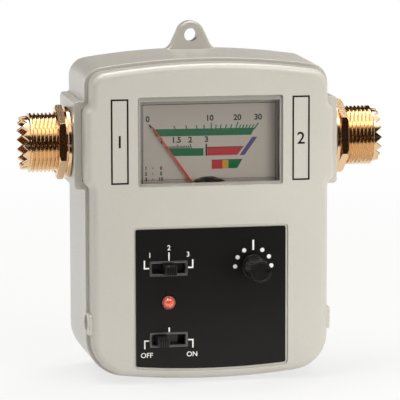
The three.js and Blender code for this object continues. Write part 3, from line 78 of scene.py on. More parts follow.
class Body(Enum):
    """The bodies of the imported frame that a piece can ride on."""

    CASE = "case"
    NEEDLE = "needle"
    RANGE = "range_slider"
    POWER = "power_slider"
    KNOB = "knob"
    DOOR = "door"


class Hand(Enum):
    """The side of the case that a socket stands on."""

    LEFT = -1
    RIGHT = 1


def linear(code: str) -> tuple[float, float, float, float]:
    """Turns an sRGB hex colour into a linear one.

    Args:
        code: The colour as six hex digits.

    Returns:
        Red, green, blue and a full alpha.
    """
    parts = [int(code[i : i + 2], 16) / 255 for i in (0, 2, 4)]
    return (*[c / 12.92 if c <= 0.04045 else ((c + 0.055) / 1.055) ** 2.4 for c in parts], 1.0)


def add_node(
    tree: bpy.types.NodeTree,
    kind: str,
    settings: dict | None = None,
    values: dict | None = None,
    links: dict | None = None,
) -> bpy.types.Node:
    """Adds one shader node with its settings, its socket values and its incoming links.

    Args:
        tree: The node tree that gets it.
        kind: The node's type name.
        settings: Attributes to set on the node.
        values: Default values by input name or number.
        links: Pairs of node and output name or number, by input name or number.

    Returns:
        The new node.
    """
    node = tree.nodes.new(kind)
    for name, value in (settings or {}).items():
        setattr(node, name, value)
    for name, value in (values or {}).items():
        node.inputs[name].default_value = value
    for name, (source, output) in (links or {}).items():
        tree.links.new(source.outputs[output], node.inputs[name])
    return node


def per_metre(size_mm: float) -> float:
    """The scale of a pattern whose features are this many millimetres wide."""
    return 1 / (size_mm * MM)


@dataclass(frozen=True)
class Finish:
    """A surface: what it is made of and how it was made, with its grain in real millimetres."""

    title: str
    tone: str
    fleck: str
    metallic: float = 0.0
    roughness: float = 0.5
    wander: float = 0.05  # how far the roughness strays to either side
    grain: float = 0.4  # how wide the fine grain is, in millimetres
    relief: float = 0.003  # how high the grain stands, in millimetres
    cloud: float = 22.0  # how wide the slow changes of tone are, in millimetres
    stretch: tuple[float, float, float] = (1.0, 1.0, 1.0)
    sockets: tuple[tuple[str, float], ...] = ()

    def material(self) -> bpy.types.Material:
        """Makes the material once, and gives the same one back after that.

        Returns:
            The material, its pattern read from Object coordinates.
        """
        known = bpy.data.materials.get(self.title)
        if known:
            return known
        made = bpy.data.materials.new(self.title)
        made.use_nodes = True
        tree = made.node_tree
        tree.nodes.clear()
        place = add_node(tree, "ShaderNodeTexCoord")
        along = add_node(
            tree, "ShaderNodeMapping", values={"Scale": self.stretch}, links={"Vector": (place, "Object")}
        )
        surface = self.surface(tree, place, along)
        self.output(tree, surface)
        return made

    def surface(
        self, tree: bpy.types.NodeTree, place: bpy.types.Node, along: bpy.types.Node
    ) -> bpy.types.Node:
        """Builds the shader: a slow cloud of tone, a fine grain in roughness and in relief.

        Args:
            tree: The material's node tree.
            place: The texture coordinates.
            along: The coordinates stretched along the way the surface was worked.

        Returns:
            The shader node.
        """
        cloud = add_node(
            tree,
            "ShaderNodeTexNoise",
            values={"Scale": per_metre(self.cloud), "Detail": 3.0, "Roughness": 0.55},
            links={"Vector": (place, "Object")},
        )
        grain = add_node(
            tree,
            "ShaderNodeTexNoise",
            values={"Scale": per_metre(self.grain), "Detail": 2.0, "Roughness": 0.6},
            links={"Vector": (along, "Vector")},
        )
        tone = add_node(
            tree,
            "ShaderNodeMix",
            {"data_type": "RGBA"},
            values={6: linear(self.tone), 7: linear(self.fleck)},
            links={0: (cloud, "Fac")},
        )
        rough = add_node(
            tree,
            "ShaderNodeMapRange",
            values={"To Min": self.roughness - self.wander, "To Max": self.roughness + self.wander},
            links={"Value": (grain, "Fac")},
        )
        bump = add_node(
            tree,
            "ShaderNodeBump",
            values={"Strength": 1.0, "Distance": self.relief * MM},
            links={"Height": (grain, "Fac")},
        )
        return add_node(
            tree,
            "ShaderNodeBsdfPrincipled",
            values={"Metallic": self.metallic, **dict(self.sockets)},
            links={
                "Base Color": (tone, 2),
                "Roughness": (rough, "Result"),
                "Normal": (bump, "Normal"),
            },
        )

    def output(self, tree: bpy.types.NodeTree, surface: bpy.types.Node) -> None:
        """Links the shader to the material's output."""
        add_node(tree, "ShaderNodeOutputMaterial", links={"Surface": (surface, 0)})


@dataclass(frozen=True)
class ClearFinish(Finish):
    """A clear moulding that bends what lies behind it and lets the lamps' light through."""

    def output(self, tree: bpy.types.NodeTree, surface: bpy.types.Node) -> None:
        """Links the shader, with plain passage for shadow rays, so that no dark patch is thrown."""
        path = add_node(tree, "ShaderNodeLightPath")
        clear = add_node(tree, "ShaderNodeBsdfTransparent")
        both = add_node(
            tree,
            "ShaderNodeMixShader",
            links={0: (path, "Is Shadow Ray"), 1: (surface, 0), 2: (clear, 0)},
        )
        add_node(tree, "ShaderNodeOutputMaterial", links={"Surface": (both, 0)})


# Spark-eroded moulded ABS: a fine matt skin that breaks highlights up, a touch uneven in tone. Its
# grain is drawn about three times as coarse as it is, so that it shows.
CASE_ABS = Finish(
    "moulded_abs_pale_grey",
    "C2BEB4",
    "C9C5BC",
    roughness=0.29,
    grain=0.28,
    relief=0.004,
    sockets=(("Specular IOR Level", 1.0),),
)
# Screen-printed polyester film: nearly black, satin, with the faint orange peel of the ink.
LABEL_FILM = Finish(
    "printed_polyester_film_black",
    "171514",
    "1B1917",
    roughness=0.3,
    grain=0.5,
    relief=0.001,
    sockets=(("Specular IOR Level", 0.22),),
)
# White screen ink: flat and even, a shade rough where the mesh left its mark.
WHITE_INK = Finish("screen_ink_white", "F6F5F1", "EEEDE8", roughness=0.6, grain=0.12, relief=0.001)
# Black screen ink: deep, with hardly any sheen, so that fine figures stay crisp.
BLACK_INK = Finish(
    "screen_ink_black",
    "100F0E",
    "171614",
    roughness=0.6,
    grain=0.12,
    relief=0.001,
    sockets=(("Specular IOR Level", 0.15),),
)
# Green screen ink of the scales: deep and flat, a little blue.
GREEN_INK = Finish("screen_ink_green", "04633A", "0B693F", roughness=0.6, grain=0.15, relief=0.001)
# Red screen ink of the bar: a muted crimson, flat.
RED_INK = Finish("screen_ink_red", "B8343A", "B23339", roughness=0.6, grain=0.15, relief=0.001)
# Blue screen ink of the slanted bar: greyed and flat, leaning to violet.
BLUE_INK = Finish("screen_ink_blue", "4F487C", "565084", roughness=0.6, grain=0.15, relief=0.001)
# Yellow screen ink of the strip's middle: a flat ochre.
YELLOW_INK = Finish("screen_ink_yellow", "C2993A", "BC953C", roughness=0.6, grain=0.15, relief=0.001)
# Black ABS of the sliders: moulded with a light polish, so that its edges catch thin lines.
BLACK_ABS = Finish("moulded_abs_black", "181817", "20201E", roughness=0.3, grain=0.35, relief=0.002)
# The switch bezels: polished in the tool, in a grey that is partly their own greyer black and partly a
# painted highlight, lifted to the brightness their edges catch, so that they stand off from the film.
GREY_BEZEL_PAINTED_HIGHLIGHT = Finish(
    "polished_abs_black",
    "41413E",
    "494946",
    roughness=0.14,
    wander=0.03,
    relief=0.0,
    sockets=(("Specular IOR Level", 1.0),),
)
# The switches' cans: steel coloured near black so that the slots look dark inside, as painted shade for the
# shade that fills the slots.
SLOT_SHADE_DARK_STEEL = Finish(
    "steel_painted_slot_shade", "2A2A29", "343433", metallic=0.6, roughness=0.5, grain=0.2, relief=0.002, cloud=6.0
)
# The knob: black with a brown cast, a soft gloss that lights the flutes and the ring of its end.
KNOB_ABS = Finish(
    "moulded_abs_knob_black",
    "161413",
    "1D1A18",
    roughness=0.26,
    grain=0.3,
    relief=0.002,
    sockets=(("Specular IOR Level", 0.3),),
)
# Black styrene of the meter's case: moulded and dull, so that it stays in the dark behind the dial.
METER_STYRENE = Finish("moulded_styrene_black", "191918", "222220", roughness=0.45)
# Satin dial enamel on sheet aluminium: pale, warm and a little silky.
DIAL_ENAMEL = Finish(
    "satin_dial_enamel",
    "DAD2C7",
    "D3CBC0",
    metallic=0.35,
    roughness=0.3,
    wander=0.02,
    grain=0.8,
    relief=0.0,
)
# Vermilion enamel on the thin needle: a soft gloss that keeps the red clear of the pale dial.
NEEDLE_ENAMEL = Finish(
    "needle_enamel_vermilion", "CC3F28", "C2402A", roughness=0.35, grain=0.3, relief=0.001
)
# Cast acrylic, polished: only its edges and reflections show.
CLEAR_ACRYLIC = ClearFinish(
    "polished_clear_acrylic",
    "FDFDFC",
    "FFFFFF",
    roughness=0.03,
    wander=0.01,
    grain=6.0,
    relief=0.0,
    sockets=(("IOR", 1.49), ("Specular IOR Level", 0.1), ("Transmission Weight", 1.0)),
)
# Gold over nickel on turned brass: fine rings round the axis that draw the light out along it.
GOLD_PLATE = Finish(
    "gold_plate_turned",
    "EDCCA3",
    "E7C397",
    metallic=1.0,
    roughness=0.17,
    wander=0.05,
    grain=0.12,
    relief=0.0025,
    cloud=6.0,
    stretch=(1.0, 0.04, 0.04),
)
# Bare turned brass: a warm yellow metal whose fine tool marks soften its shine.
TURNED_BRASS = Finish(
    "turned_brass",
    "C49A5A",
    "B88D4E",
    metallic=1.0,
    roughness=0.3,
    grain=0.15,
    relief=0.002,
    cloud=8.0,
)
# Nickel plate on steel: a cool grey metal, bright but a little blurred.
NICKEL_STEEL = Finish(
    "nickel_plated_steel",
    "B4B3AF",
    "A5A49F",
    metallic=1.0,
    roughness=0.28,
    grain=0.2,
    relief=0.002,
    cloud=8.0,
)
# Glass-filled polyester: cream, waxy, with a faint fibre.
INSULATOR = Finish(
    "moulded_polyester_cream",
    "D8CBAA",
    "CDBE9A",
    roughness=0.42,
    grain=0.3,
    cloud=4.0,
    sockets=(("Subsurface Weight", 0.1), ("Subsurface Scale", 0.002)),
)
# Cast epoxy lens, dyed red: glows from inside, under a strong coat with a soft, wide highlight.
LAMP_EPOXY = Finish(
    "cast_epoxy_red",
    "E85A3E",
    "EE6444",
    roughness=0.16,
    wander=0.02,
    grain=2.0,
    relief=0.0,
    sockets=(
        ("Subsurface Weight", 0.6),
        ("Subsurface Scale", 0.0015),
        ("Specular IOR Level", 1.0),
        ("Coat Weight", 1.0),
        ("Coat Roughness", 0.22),
        ("Coat IOR", 1.8),
    ),
)
# Dyed resin of the lamp's collar: a thin dull pink ring that sets the red off from the black.
LAMP_RESIN = Finish("lamp_collar_pale", "A8766A", "9E6C60", roughness=0.35, grain=0.3, relief=0.001)
# Epoxy and glass laminate under green solder mask, its weave just showing.
LAMINATE = Finish(
    "solder_mask_green", "1F5232", "2A6340", roughness=0.35, grain=0.5, relief=0.004, cloud=3.0
)
# Enamelled copper wire, wound close: a brown orange metal, its turns a fine ripple.
COPPER_WIRE = Finish(
    "enamelled_copper_wire",
    "B4693C",
    "A3582E",
    metallic=1.0,
    roughness=0.3,
    grain=0.1,
    relief=0.006,
    cloud=2.0,
)
# Printed steel jacket: a plain blue-black under light lacquer, which gives it one soft sheen.
BATTERY_JACKET = Finish(
    "lacquered_steel_jacket",
    "27324A",
    "2F3B56",
    metallic=0.3,
    roughness=0.3,
    grain=0.6,
    sockets=(("Coat Weight", 0.5), ("Coat Roughness", 0.15)),
)
# Extruded red vinyl: even, with a soft waxy gloss along the lead.
RED_VINYL = Finish("extruded_vinyl_red", "A3241B", "AE2C20", roughness=0.4, grain=0.3, cloud=3.0)
# Extruded black vinyl: the same gloss on the other lead and on the snap.
BLACK_VINYL = Finish("extruded_vinyl_black", "161616", "1F1F1E", roughness=0.4, grain=0.3, cloud=3.0)
# Moulded black epoxy of the chip: dull and dark grey, faintly gritty.
EPOXY_BLACK = Finish("moulded_epoxy_black", "1A1A1B", "232324", roughness=0.6, grain=0.12, relief=0.004)


def arc(cx: float, cz: float, radius: float, start: float, end: float, steps: int) -> Array:
    """Points on an arc: centre plus radius times cosine and sine of evenly spaced angles.

    Args:
        cx: The centre across.
        cz: The centre up.
        radius: The radius.
        start: The first angle in radians.
        end: The last angle in radians.
        steps: How many equal steps the arc is divided into.

    Returns:
        An array of steps + 1 rows of two places.
    """
    angle = np.linspace(start, end, steps + 1)
    return np.stack([cx + radius * np.cos(angle), cz + radius * np.sin(angle)], axis=1)


def rounded_rectangle(half_width: float, half_height: float, radius: float, steps: int = 6) -> Array:
    """A rectangle about zero whose corners are quarter arcs, counterclockwise.

    Args:
        half_width: Half its size across.
        half_height: Half its size up.
        radius: The radius of its corners.
        steps: Steps in each corner.

    Returns:
        The outline's points.
    """
    x, z = half_width - radius, half_height - radius
    corners = [(x, -z), (x, z), (-x, z), (-x, -z)]
    return np.concatenate(
        [arc(cx, cz, radius, (i - 1) * QUARTER, i * QUARTER, steps) for i, (cx, cz) in enumerate(corners)]
    )


def at_depth(outline: Array, depth: float) -> Array:
    """Stands an outline drawn across and up at one depth."""
    return np.stack([outline[:, 0], np.full(len(outline), depth), outline[:, 1]], axis=1)


def at_side(outline: Array, side: float) -> Array:
    """Stands an outline drawn in depth and height at one side place."""
    return np.stack([np.full(len(outline), side), outline[:, 0], outline[:, 1]], axis=1)


def edge_round(radius: float, steps: int) -> Array:
    """A quarter round as pairs: how far the face is drawn in, and how far it has turned the edge.

    The first is radius times one minus the sine of an angle that goes from zero to a right angle,
    the second radius times one minus its cosine.
    """
    angle = np.linspace(0, QUARTER, steps + 1)
    return np.stack([radius * (1 - np.sin(angle)), radius * (1 - np.cos(angle))], axis=1)


def closed_up(mesh: bpy.types.Mesh, slivers: bool = False) -> bpy.types.Mesh:
    """Welds a mesh and turns its faces outwards.

    Args:
        mesh: The mesh, which is changed.
        slivers: Whether faces without size are cleared away too.

    Returns:
        The same mesh.
    """
    work = bmesh.new()
    work.from_mesh(mesh)
    bmesh.ops.remove_doubles(work, verts=work.verts, dist=WELD)
    if slivers:
        bmesh.ops.dissolve_degenerate(work, edges=work.edges, dist=WELD)
    bmesh.ops.recalc_face_normals(work, faces=work.faces)
    work.to_mesh(mesh)
    work.free()
    return mesh


def grid_faces(rows: int, columns: int, closed_rows: bool) -> list:
    """Quads of a grid whose columns run round, and whose rows may also join up.

    Args:
        rows: How many rings the grid has.
        columns: How many points a ring has.
        closed_rows: Whether the last ring joins the first.

    Returns:
        The faces as tuples of point numbers.
    """
    i, j = np.meshgrid(np.arange(rows if closed_rows else rows - 1), np.arange(columns), indexing="ij")
    a = i * columns + j
    b = i * columns + (j + 1) % columns
    c = ((i + 1) % rows) * columns + (j + 1) % columns
    d = ((i + 1) % rows) * columns + j
    return [tuple(q) for q in np.stack([a, b, c, d], axis=-1).reshape(-1, 4).tolist()]


def skin(rings: Array, ring_of_rings: bool = False) -> bpy.types.Mesh:
    """A skin stretched over rings of equal point count, closed by flat ends or into a loop.

    Args:
        rings: An array of rings by points by three places.
        ring_of_rings: Whether the last ring joins the first, with no flat ends.

    Returns:
        The closed mesh.
    """
    rows, columns = rings.shape[:2]
    faces = grid_faces(rows, columns, ring_of_rings)
    if not ring_of_rings:
        faces.append(tuple(range(columns)))
        faces.append(tuple(range((rows - 1) * columns, rows * columns)))
    mesh = bpy.data.meshes.new("piece")
    mesh.from_pydata(rings.reshape(-1, 3).astype(float), [], faces)
    return closed_up(mesh, slivers=True)


def through(rows: list) -> bpy.types.Mesh:
    """A skin through outlines in side and height, given as rows of outline and depth."""
    return skin(np.stack([at_depth(outline, depth) for outline, depth in rows]))


def across(rows: list) -> bpy.types.Mesh:
    """A skin through outlines in depth and height, given as rows of outline and side place."""
    return skin(np.stack([at_side(outline, side) for outline, side in rows]))


def turned(profile: Array, sides: int = SIDES, loop: bool = False) -> bpy.types.Mesh:
    """A turned form about the depth axis: each point of the profile is carried round a circle.

    The place is (radius times cosine, place, radius times sine) of the angle round the axis.

    Args:
        profile: Rows of radius and place.
        sides: Divisions round the axis.
        loop: Whether the profile closes on itself, as a ring's does.

    Returns:
        The closed mesh.
    """
    angle = np.arange(sides) * (2 * math.pi / sides)
    radius, place = profile[:, :1], profile[:, 1:]
    rings = np.stack(
        [radius * np.cos(angle), np.broadcast_to(place, (len(profile), sides)), radius * np.sin(angle)],
        axis=-1,
    )
    return skin(rings, loop)


def rod(radius: float, start: float, end: float, sides: int = FEW_SIDES) -> bpy.types.Mesh:
    """A plain round rod along the depth axis, for holes and posts."""
    return turned(np.array([[0, start], [radius, start], [radius, end], [0, end]], float), sides)


def prism(outline: Array, start: float, end: float) -> bpy.types.Mesh:
    """An outline in side and height carried straight from one depth to another."""
    return through([(outline, start), (outline, end)])


def block(low: tuple, high: tuple) -> bpy.types.Mesh:
    """A plain block between two corners, for cuts and walls."""
    x0, y0, z0 = low
    x1, y1, z1 = high
    return prism(np.array([[x0, z0], [x1, z0], [x1, z1], [x0, z1]], float), y0, y1)


def moved(mesh: bpy.types.Mesh, x: float = 0, y: float = 0, z: float = 0) -> bpy.types.Mesh:
    """Moves a mesh by lengths in millimetres and gives it back."""
    mesh.transform(Matrix.Translation((x, y, z)))
    return mesh


def turned_about(mesh: bpy.types.Mesh, degrees: float, axis: str) -> bpy.types.Mesh:
    """Turns a mesh about an axis through zero and gives it back."""
    mesh.transform(Matrix.Rotation(math.radians(degrees), 4, axis))
    return mesh


def axle(radius: float, reach: float, sides: int = FEW_SIDES) -> bpy.types.Mesh:
    """A round rod that lies across, with its middle at zero and as long to either side."""
    return turned_about(rod(radius, -reach, reach, sides), 90, "Z")


def linked(name: str, data: bpy.types.ID) -> bpy.types.Object:
    """Makes an object of a mesh, curve, camera or lamp and puts it in the scene."""
    made = bpy.data.objects.new(name, data)
    bpy.context.scene.collection.objects.link(made)
    return made


def carve(
    body: bpy.types.Mesh, cuts: list | None = None, joins: list | None = None
) -> bpy.types.Mesh:
    """Joins solids to a body and then cuts others out of it.

    Args:
        body: The closed mesh to work on.
        cuts: Closed meshes to take away.
        joins: Closed meshes to add.

    Returns:
        A new mesh with the result.
    """
    work = linked("work", body)
    tools = []
    for way, meshes in (("UNION", joins or []), ("DIFFERENCE", cuts or [])):
        for mesh in meshes:
            tool = linked("tool", mesh)
            tools.append(tool)
            step = work.modifiers.new("carve", "BOOLEAN")
            step.operation = way
            step.solver = "EXACT"
            step.object = tool
    graph = bpy.context.evaluated_depsgraph_get()
    made = bpy.data.meshes.new_from_object(work.evaluated_get(graph))
    for each in [*tools, work]:
        bpy.data.objects.remove(each)
    return made


def merged(meshes: list) -> bpy.types.Mesh:
    """Puts several closed meshes that stand apart into one."""
    work = bmesh.new()
    for mesh in meshes:
        work.from_mesh(mesh)
    made = bpy.data.meshes.new("merged")
    work.to_mesh(made)
    work.free()
    return made


def dress(finish: Finish, *nodes: str) -> None:
    """Gives nodes of the frame their finish, in place of the materials that they had."""
    for node in nodes:
        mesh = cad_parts[node].data
        mesh.materials.clear()
        mesh.materials.append(finish.material())


def place(
    name: str,
    mesh: bpy.types.Mesh,
    finish: Finish,
    body: Body,
    slot: str,
    replaced: tuple[str, ...] = (),
    bevel: float = 0.0,
    smooth: bool = True,
    sharp: float = SHARP_DEGREES,
) -> None:
    """Carries a mesh into the frame as a finished piece.

    Args:
        name: The piece's name.
        mesh: Its closed mesh in the panel's millimetres.
        finish: What it is made of.
        body: The body that it moves with.
        slot: The record's material slot; not used.
        replaced: The frame's nodes that it stands for.
        bevel: The width of a bevel on its crisp edges, in millimetres.
        smooth: Whether round stretches are shaded as round.
        sharp: The turn in degrees past which an edge stays crisp.
    """
    mesh.transform(TO_FRAME)
    mesh.name = name
    mesh.materials.clear()
    mesh.materials.append(finish.material())
    piece = linked(name, mesh)
    if bevel:
        cut = piece.modifiers.new("softened_edges", "BEVEL")
        cut.width = bevel * MM
        cut.segments = 2
        cut.limit_method = "ANGLE"
        cut.angle_limit = math.radians(sharp)
        cut.use_clamp_overlap = True
    if smooth:
        mesh.shade_smooth()
        mesh.set_sharp_from_angle(angle=math.radians(sharp))
        even = piece.modifiers.new("even_shading", "WEIGHTED_NORMAL")
        even.keep_sharp = True
    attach(piece, body.value)
    if replaced:
        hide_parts(*replaced)
    log.info("%s: %d faces", name, len(mesh.polygons))


def circle(cx: float, cz: float, radius: float, sides: int = FEW_SIDES) -> Array:
    """A round outline, counterclockwise, with no point said twice."""
    return arc(cx, cz, radius, 0, 2 * math.pi, sides)[:-1]


def flared(
    outline_at: Outline, face: float, depth: float, flare: float, inwards: int = 1
) -> bpy.types.Mesh:
    """A cutter whose mouth widens as a quarter round, so that the hole's edge comes out rounded.

    Args:
        outline_at: Gives the hole's outline, grown outwards by a length.
        face: The depth of the face that the hole opens in.
        depth: How far the hole goes in.
        flare: The radius of the rounded edge.
        inwards: 1 where going in means going back, and -1 where it means coming forward.

    Returns:
        The cutter.
    """
    rows = [(flare, -OVERRUN), *edge_round(flare, 4).tolist(), (0.0, depth)]
    return through([(outline_at(grow), face + inwards * y) for grow, y in rows])


@dataclass(frozen=True)
class Lobe:
    """A side lobe: how far it reaches, where its ends turn, and the radii of its two arcs."""

    reach: float
    low: float
    high: float
    corner: float
    hollow: float


@dataclass(frozen=True)
class CaseForm:
    """The case's outline, which both shells share."""

    half_width: float = 32.6
    top: float = 85.8
    crown: float = 195.0
    top_corner: float = 5.0
    foot_corner: float = 10.7
    least_corner: float = 0.4
    depth: float = 33.0
    seam: float = 6.1
    wall: float = 2.0
    draft: float = -0.35  # below zero, as the rear shell's sides and top grow towards the back
    ledge: float = 0.9
    socket_depth: float = 16.4
    socket_height: float = 63.1
    back_lobe: Lobe = Lobe(35.34, 51.55, 74.86, 1.0, 0.6)
    front_lobe: Lobe = Lobe(34.2, 52.3, 74.2, 2.9, 1.1)
    no_lobe: Lobe = Lobe(32.6, 53.45, 72.96, 1.0, 1.0)

    def lobe_edge(self, half_width: float, inset: float, lobe: Lobe) -> Array:
        """One side's lobe from the bottom up on the right.

        A hollow arc leads out of the side and a round one into the lobe's face, and both turn by
        the angle whose cosine is one minus the step over the sum of their radii.

        Args:
            half_width: Where the side is, across.
            inset: How far the whole outline is drawn in.
            lobe: The lobe's sizes.

        Returns:
            The points of the edge.
        """
        hollow = lobe.hollow + inset
        corner = max(lobe.corner - inset, self.least_corner)
        step = max(lobe.reach - inset - half_width, 0)
        turn = math.acos(max(1 - step / (hollow + corner), 0))
        rise = math.sin(turn)
        low, high = lobe.low + inset * rise, lobe.high - inset * rise
        root, face = half_width + hollow, half_width + step - corner
        return np.concatenate(
            [
                arc(root, low - hollow * rise, hollow, math.pi, math.pi - turn, 8),
                arc(face, low + corner * rise, corner, -turn, 0, 8),
                arc(face, high - corner * rise, corner, 0, turn, 8),
                arc(root, high + hollow * rise, hollow, math.pi + turn, math.pi, 8),
            ]
        )

    def outline(self, inset: float, lobe: Lobe, draft: float = 0.0) -> Array:
        """The case's outline drawn in by an inset all round, counterclockwise.

        Top and foot are shallow arcs that run into the straight sides through rounded corners: each
        corner's centre lies where an arc of the crown's radius less the corner's meets the side.

        Args:
            inset: How far it is drawn in all round.
            lobe: The side lobes to use.
            draft: How far the sides and the top are drawn in besides, or grown where below zero.

        Returns:
            The points.
        """
        half = self.half_width - inset - draft
        crown = self.crown - inset
        top = self.top - inset - draft
        top_corner = max(self.top_corner - inset, self.least_corner)
        foot_corner = max(self.foot_corner - inset, self.least_corner)
        top_x, foot_x = half - top_corner, half - foot_corner
        top_rise = math.sqrt((crown - top_corner) ** 2 - top_x**2)
        foot_rise = math.sqrt((crown - foot_corner) ** 2 - foot_x**2)
        top_turn = math.atan2(top_rise, top_x)
        foot_turn = math.atan2(foot_rise, foot_x)
        top_z, foot_z = top - crown + top_rise, inset + crown - foot_rise
        right = self.lobe_edge(half, inset, lobe)
        left = (right * np.array([-1, 1]))[::-1]
        foot = arc(0, inset + crown, crown, foot_turn - math.pi, -foot_turn, 30)
        head = arc(0, top - crown, crown, top_turn, math.pi - top_turn, 30)
        return np.concatenate(
            [
                foot[1:-1],
                arc(foot_x, foot_z, foot_corner, -foot_turn, 0, 16),
                right,
                arc(top_x, top_z, top_corner, 0, top_turn, 12),
                head[1:-1],
                arc(-top_x, top_z, top_corner, math.pi - top_turn, math.pi, 12),
                left,
                arc(-foot_x, foot_z, foot_corner, -math.pi, foot_turn - math.pi, 16),
            ]
        )

    def loft(self, rows: list) -> bpy.types.Mesh:
        """A skin through outlines given as rows of depth, inset, lobe and draft."""
        return through([(self.outline(i, lobe, d), y) for y, i, lobe, d in rows])


@dataclass(frozen=True)
class PanelPlan:
    """Where the panel's window, label and controls are."""

    window_half_width: float = 18.84
    window_low: float = 53.09
    window_high: float = 75.71
    window_corner: float = 0.15
    window_seat: float = 0.5
    seat_depth: float = 0.7
    opening_half_width: float = 18.6
    opening_low: float = 53.3
    opening_high: float = 74.9
    label_half_width: float = 20.1
    label_top: float = 41.36
    label_low: float = 4.73
    label_sag: float = 0.93
    label_corner: float = 0.5
    label_least_corner: float = 0.1
    switch_side: float = -11.37
    range_height: float = 30.84
    power_height: float = 11.8
    slot_half_width: float = 4.62
    slot_half_height: float = 1.57
    slot_corner: float = 0.3
    lamp_side: float = -11.4
    lamp_height: float = 21.8
    lamp_hole: float = 2.0
    knob_side: float = 11.35
    knob_height: float = 30.84
    bush_hole: float = 2.7

    def label(self, grow: float) -> Array:
        """The label's outline: straight top and sides, and a foot on an arc that sags.

        The arc's radius is half the width squared plus the sag squared, over twice the sag.

        Args:
            grow: How far the outline is grown outwards.

        Returns:
            The points, counterclockwise.
        """
        half = self.label_half_width + grow
        top, low = self.label_top + grow, self.label_low - grow
        corner = max(self.label_corner + grow, self.label_least_corner)
        radius = (self.label_half_width**2 + self.label_sag**2) / (2 * self.label_sag)
        turn = math.asin((half - corner) / radius)
        x = half - corner
        foot = arc(0, low + radius * math.cos(turn), radius, -QUARTER - turn, -QUARTER + turn, 24)
        return np.concatenate(
            [
                arc(x, low + corner, corner, -QUARTER, 0, 6)[1:],
                arc(x, top - corner, corner, 0, QUARTER, 6),
                arc(-x, top - corner, corner, QUARTER, math.pi, 6),
                arc(-x, low + corner, corner, math.pi, 3 * QUARTER, 6)[:-1],
                foot,
            ]
        )

    def pane(self, half_width: float, low: float, high: float, grow: float) -> Array:
        """A rectangle between two heights about the panel's middle, grown outwards by a length.

        Args:
            half_width: Half its width before it grows.
            low: Its lower edge before it grows.
            high: Its upper edge before it grows.
            grow: How far it is grown, and where that is above zero, its corners' radius with it.

        Returns:
            The points.
        """
        middle, half = (low + high) / 2, (high - low) / 2
        corner = self.window_corner + max(grow, 0)
        return rounded_rectangle(half_width + grow, half + grow, corner) + [0, middle]

    def window(self, grow: float) -> Array:
        """The meter window's outline, grown outwards by a length."""
        return self.pane(self.window_half_width, self.window_low, self.window_high, grow)

    def opening(self, grow: float) -> Array:
        """The outline of the opening below the window's seat, grown outwards by a length."""
        return self.pane(self.opening_half_width, self.opening_low, self.opening_high, grow)

    def slot(self, height: float, grow: float) -> Array:
        """A switch slot's outline, grown outwards by a length."""
        wide, tall = self.slot_half_width + grow, self.slot_half_height + grow
        return rounded_rectangle(wide, tall, self.slot_corner + grow) + [self.switch_side, height]

    def control_cuts(self, face: float, depth: float, flare: float) -> list:
        """Cutters for the two slots, the lamp and the knob's bush, from a face inwards."""
        makers = [
            lambda grow: self.slot(self.range_height, grow),
            lambda grow: self.slot(self.power_height, grow),
            lambda grow: circle(self.lamp_side, self.lamp_height, self.lamp_hole + grow, 48),
            lambda grow: circle(self.knob_side, self.knob_height, self.bush_hole + grow, 48),
        ]
        return [flared(maker, face, depth, flare) for maker in makers]


FORM = CaseForm()
PLAN = PanelPlan()


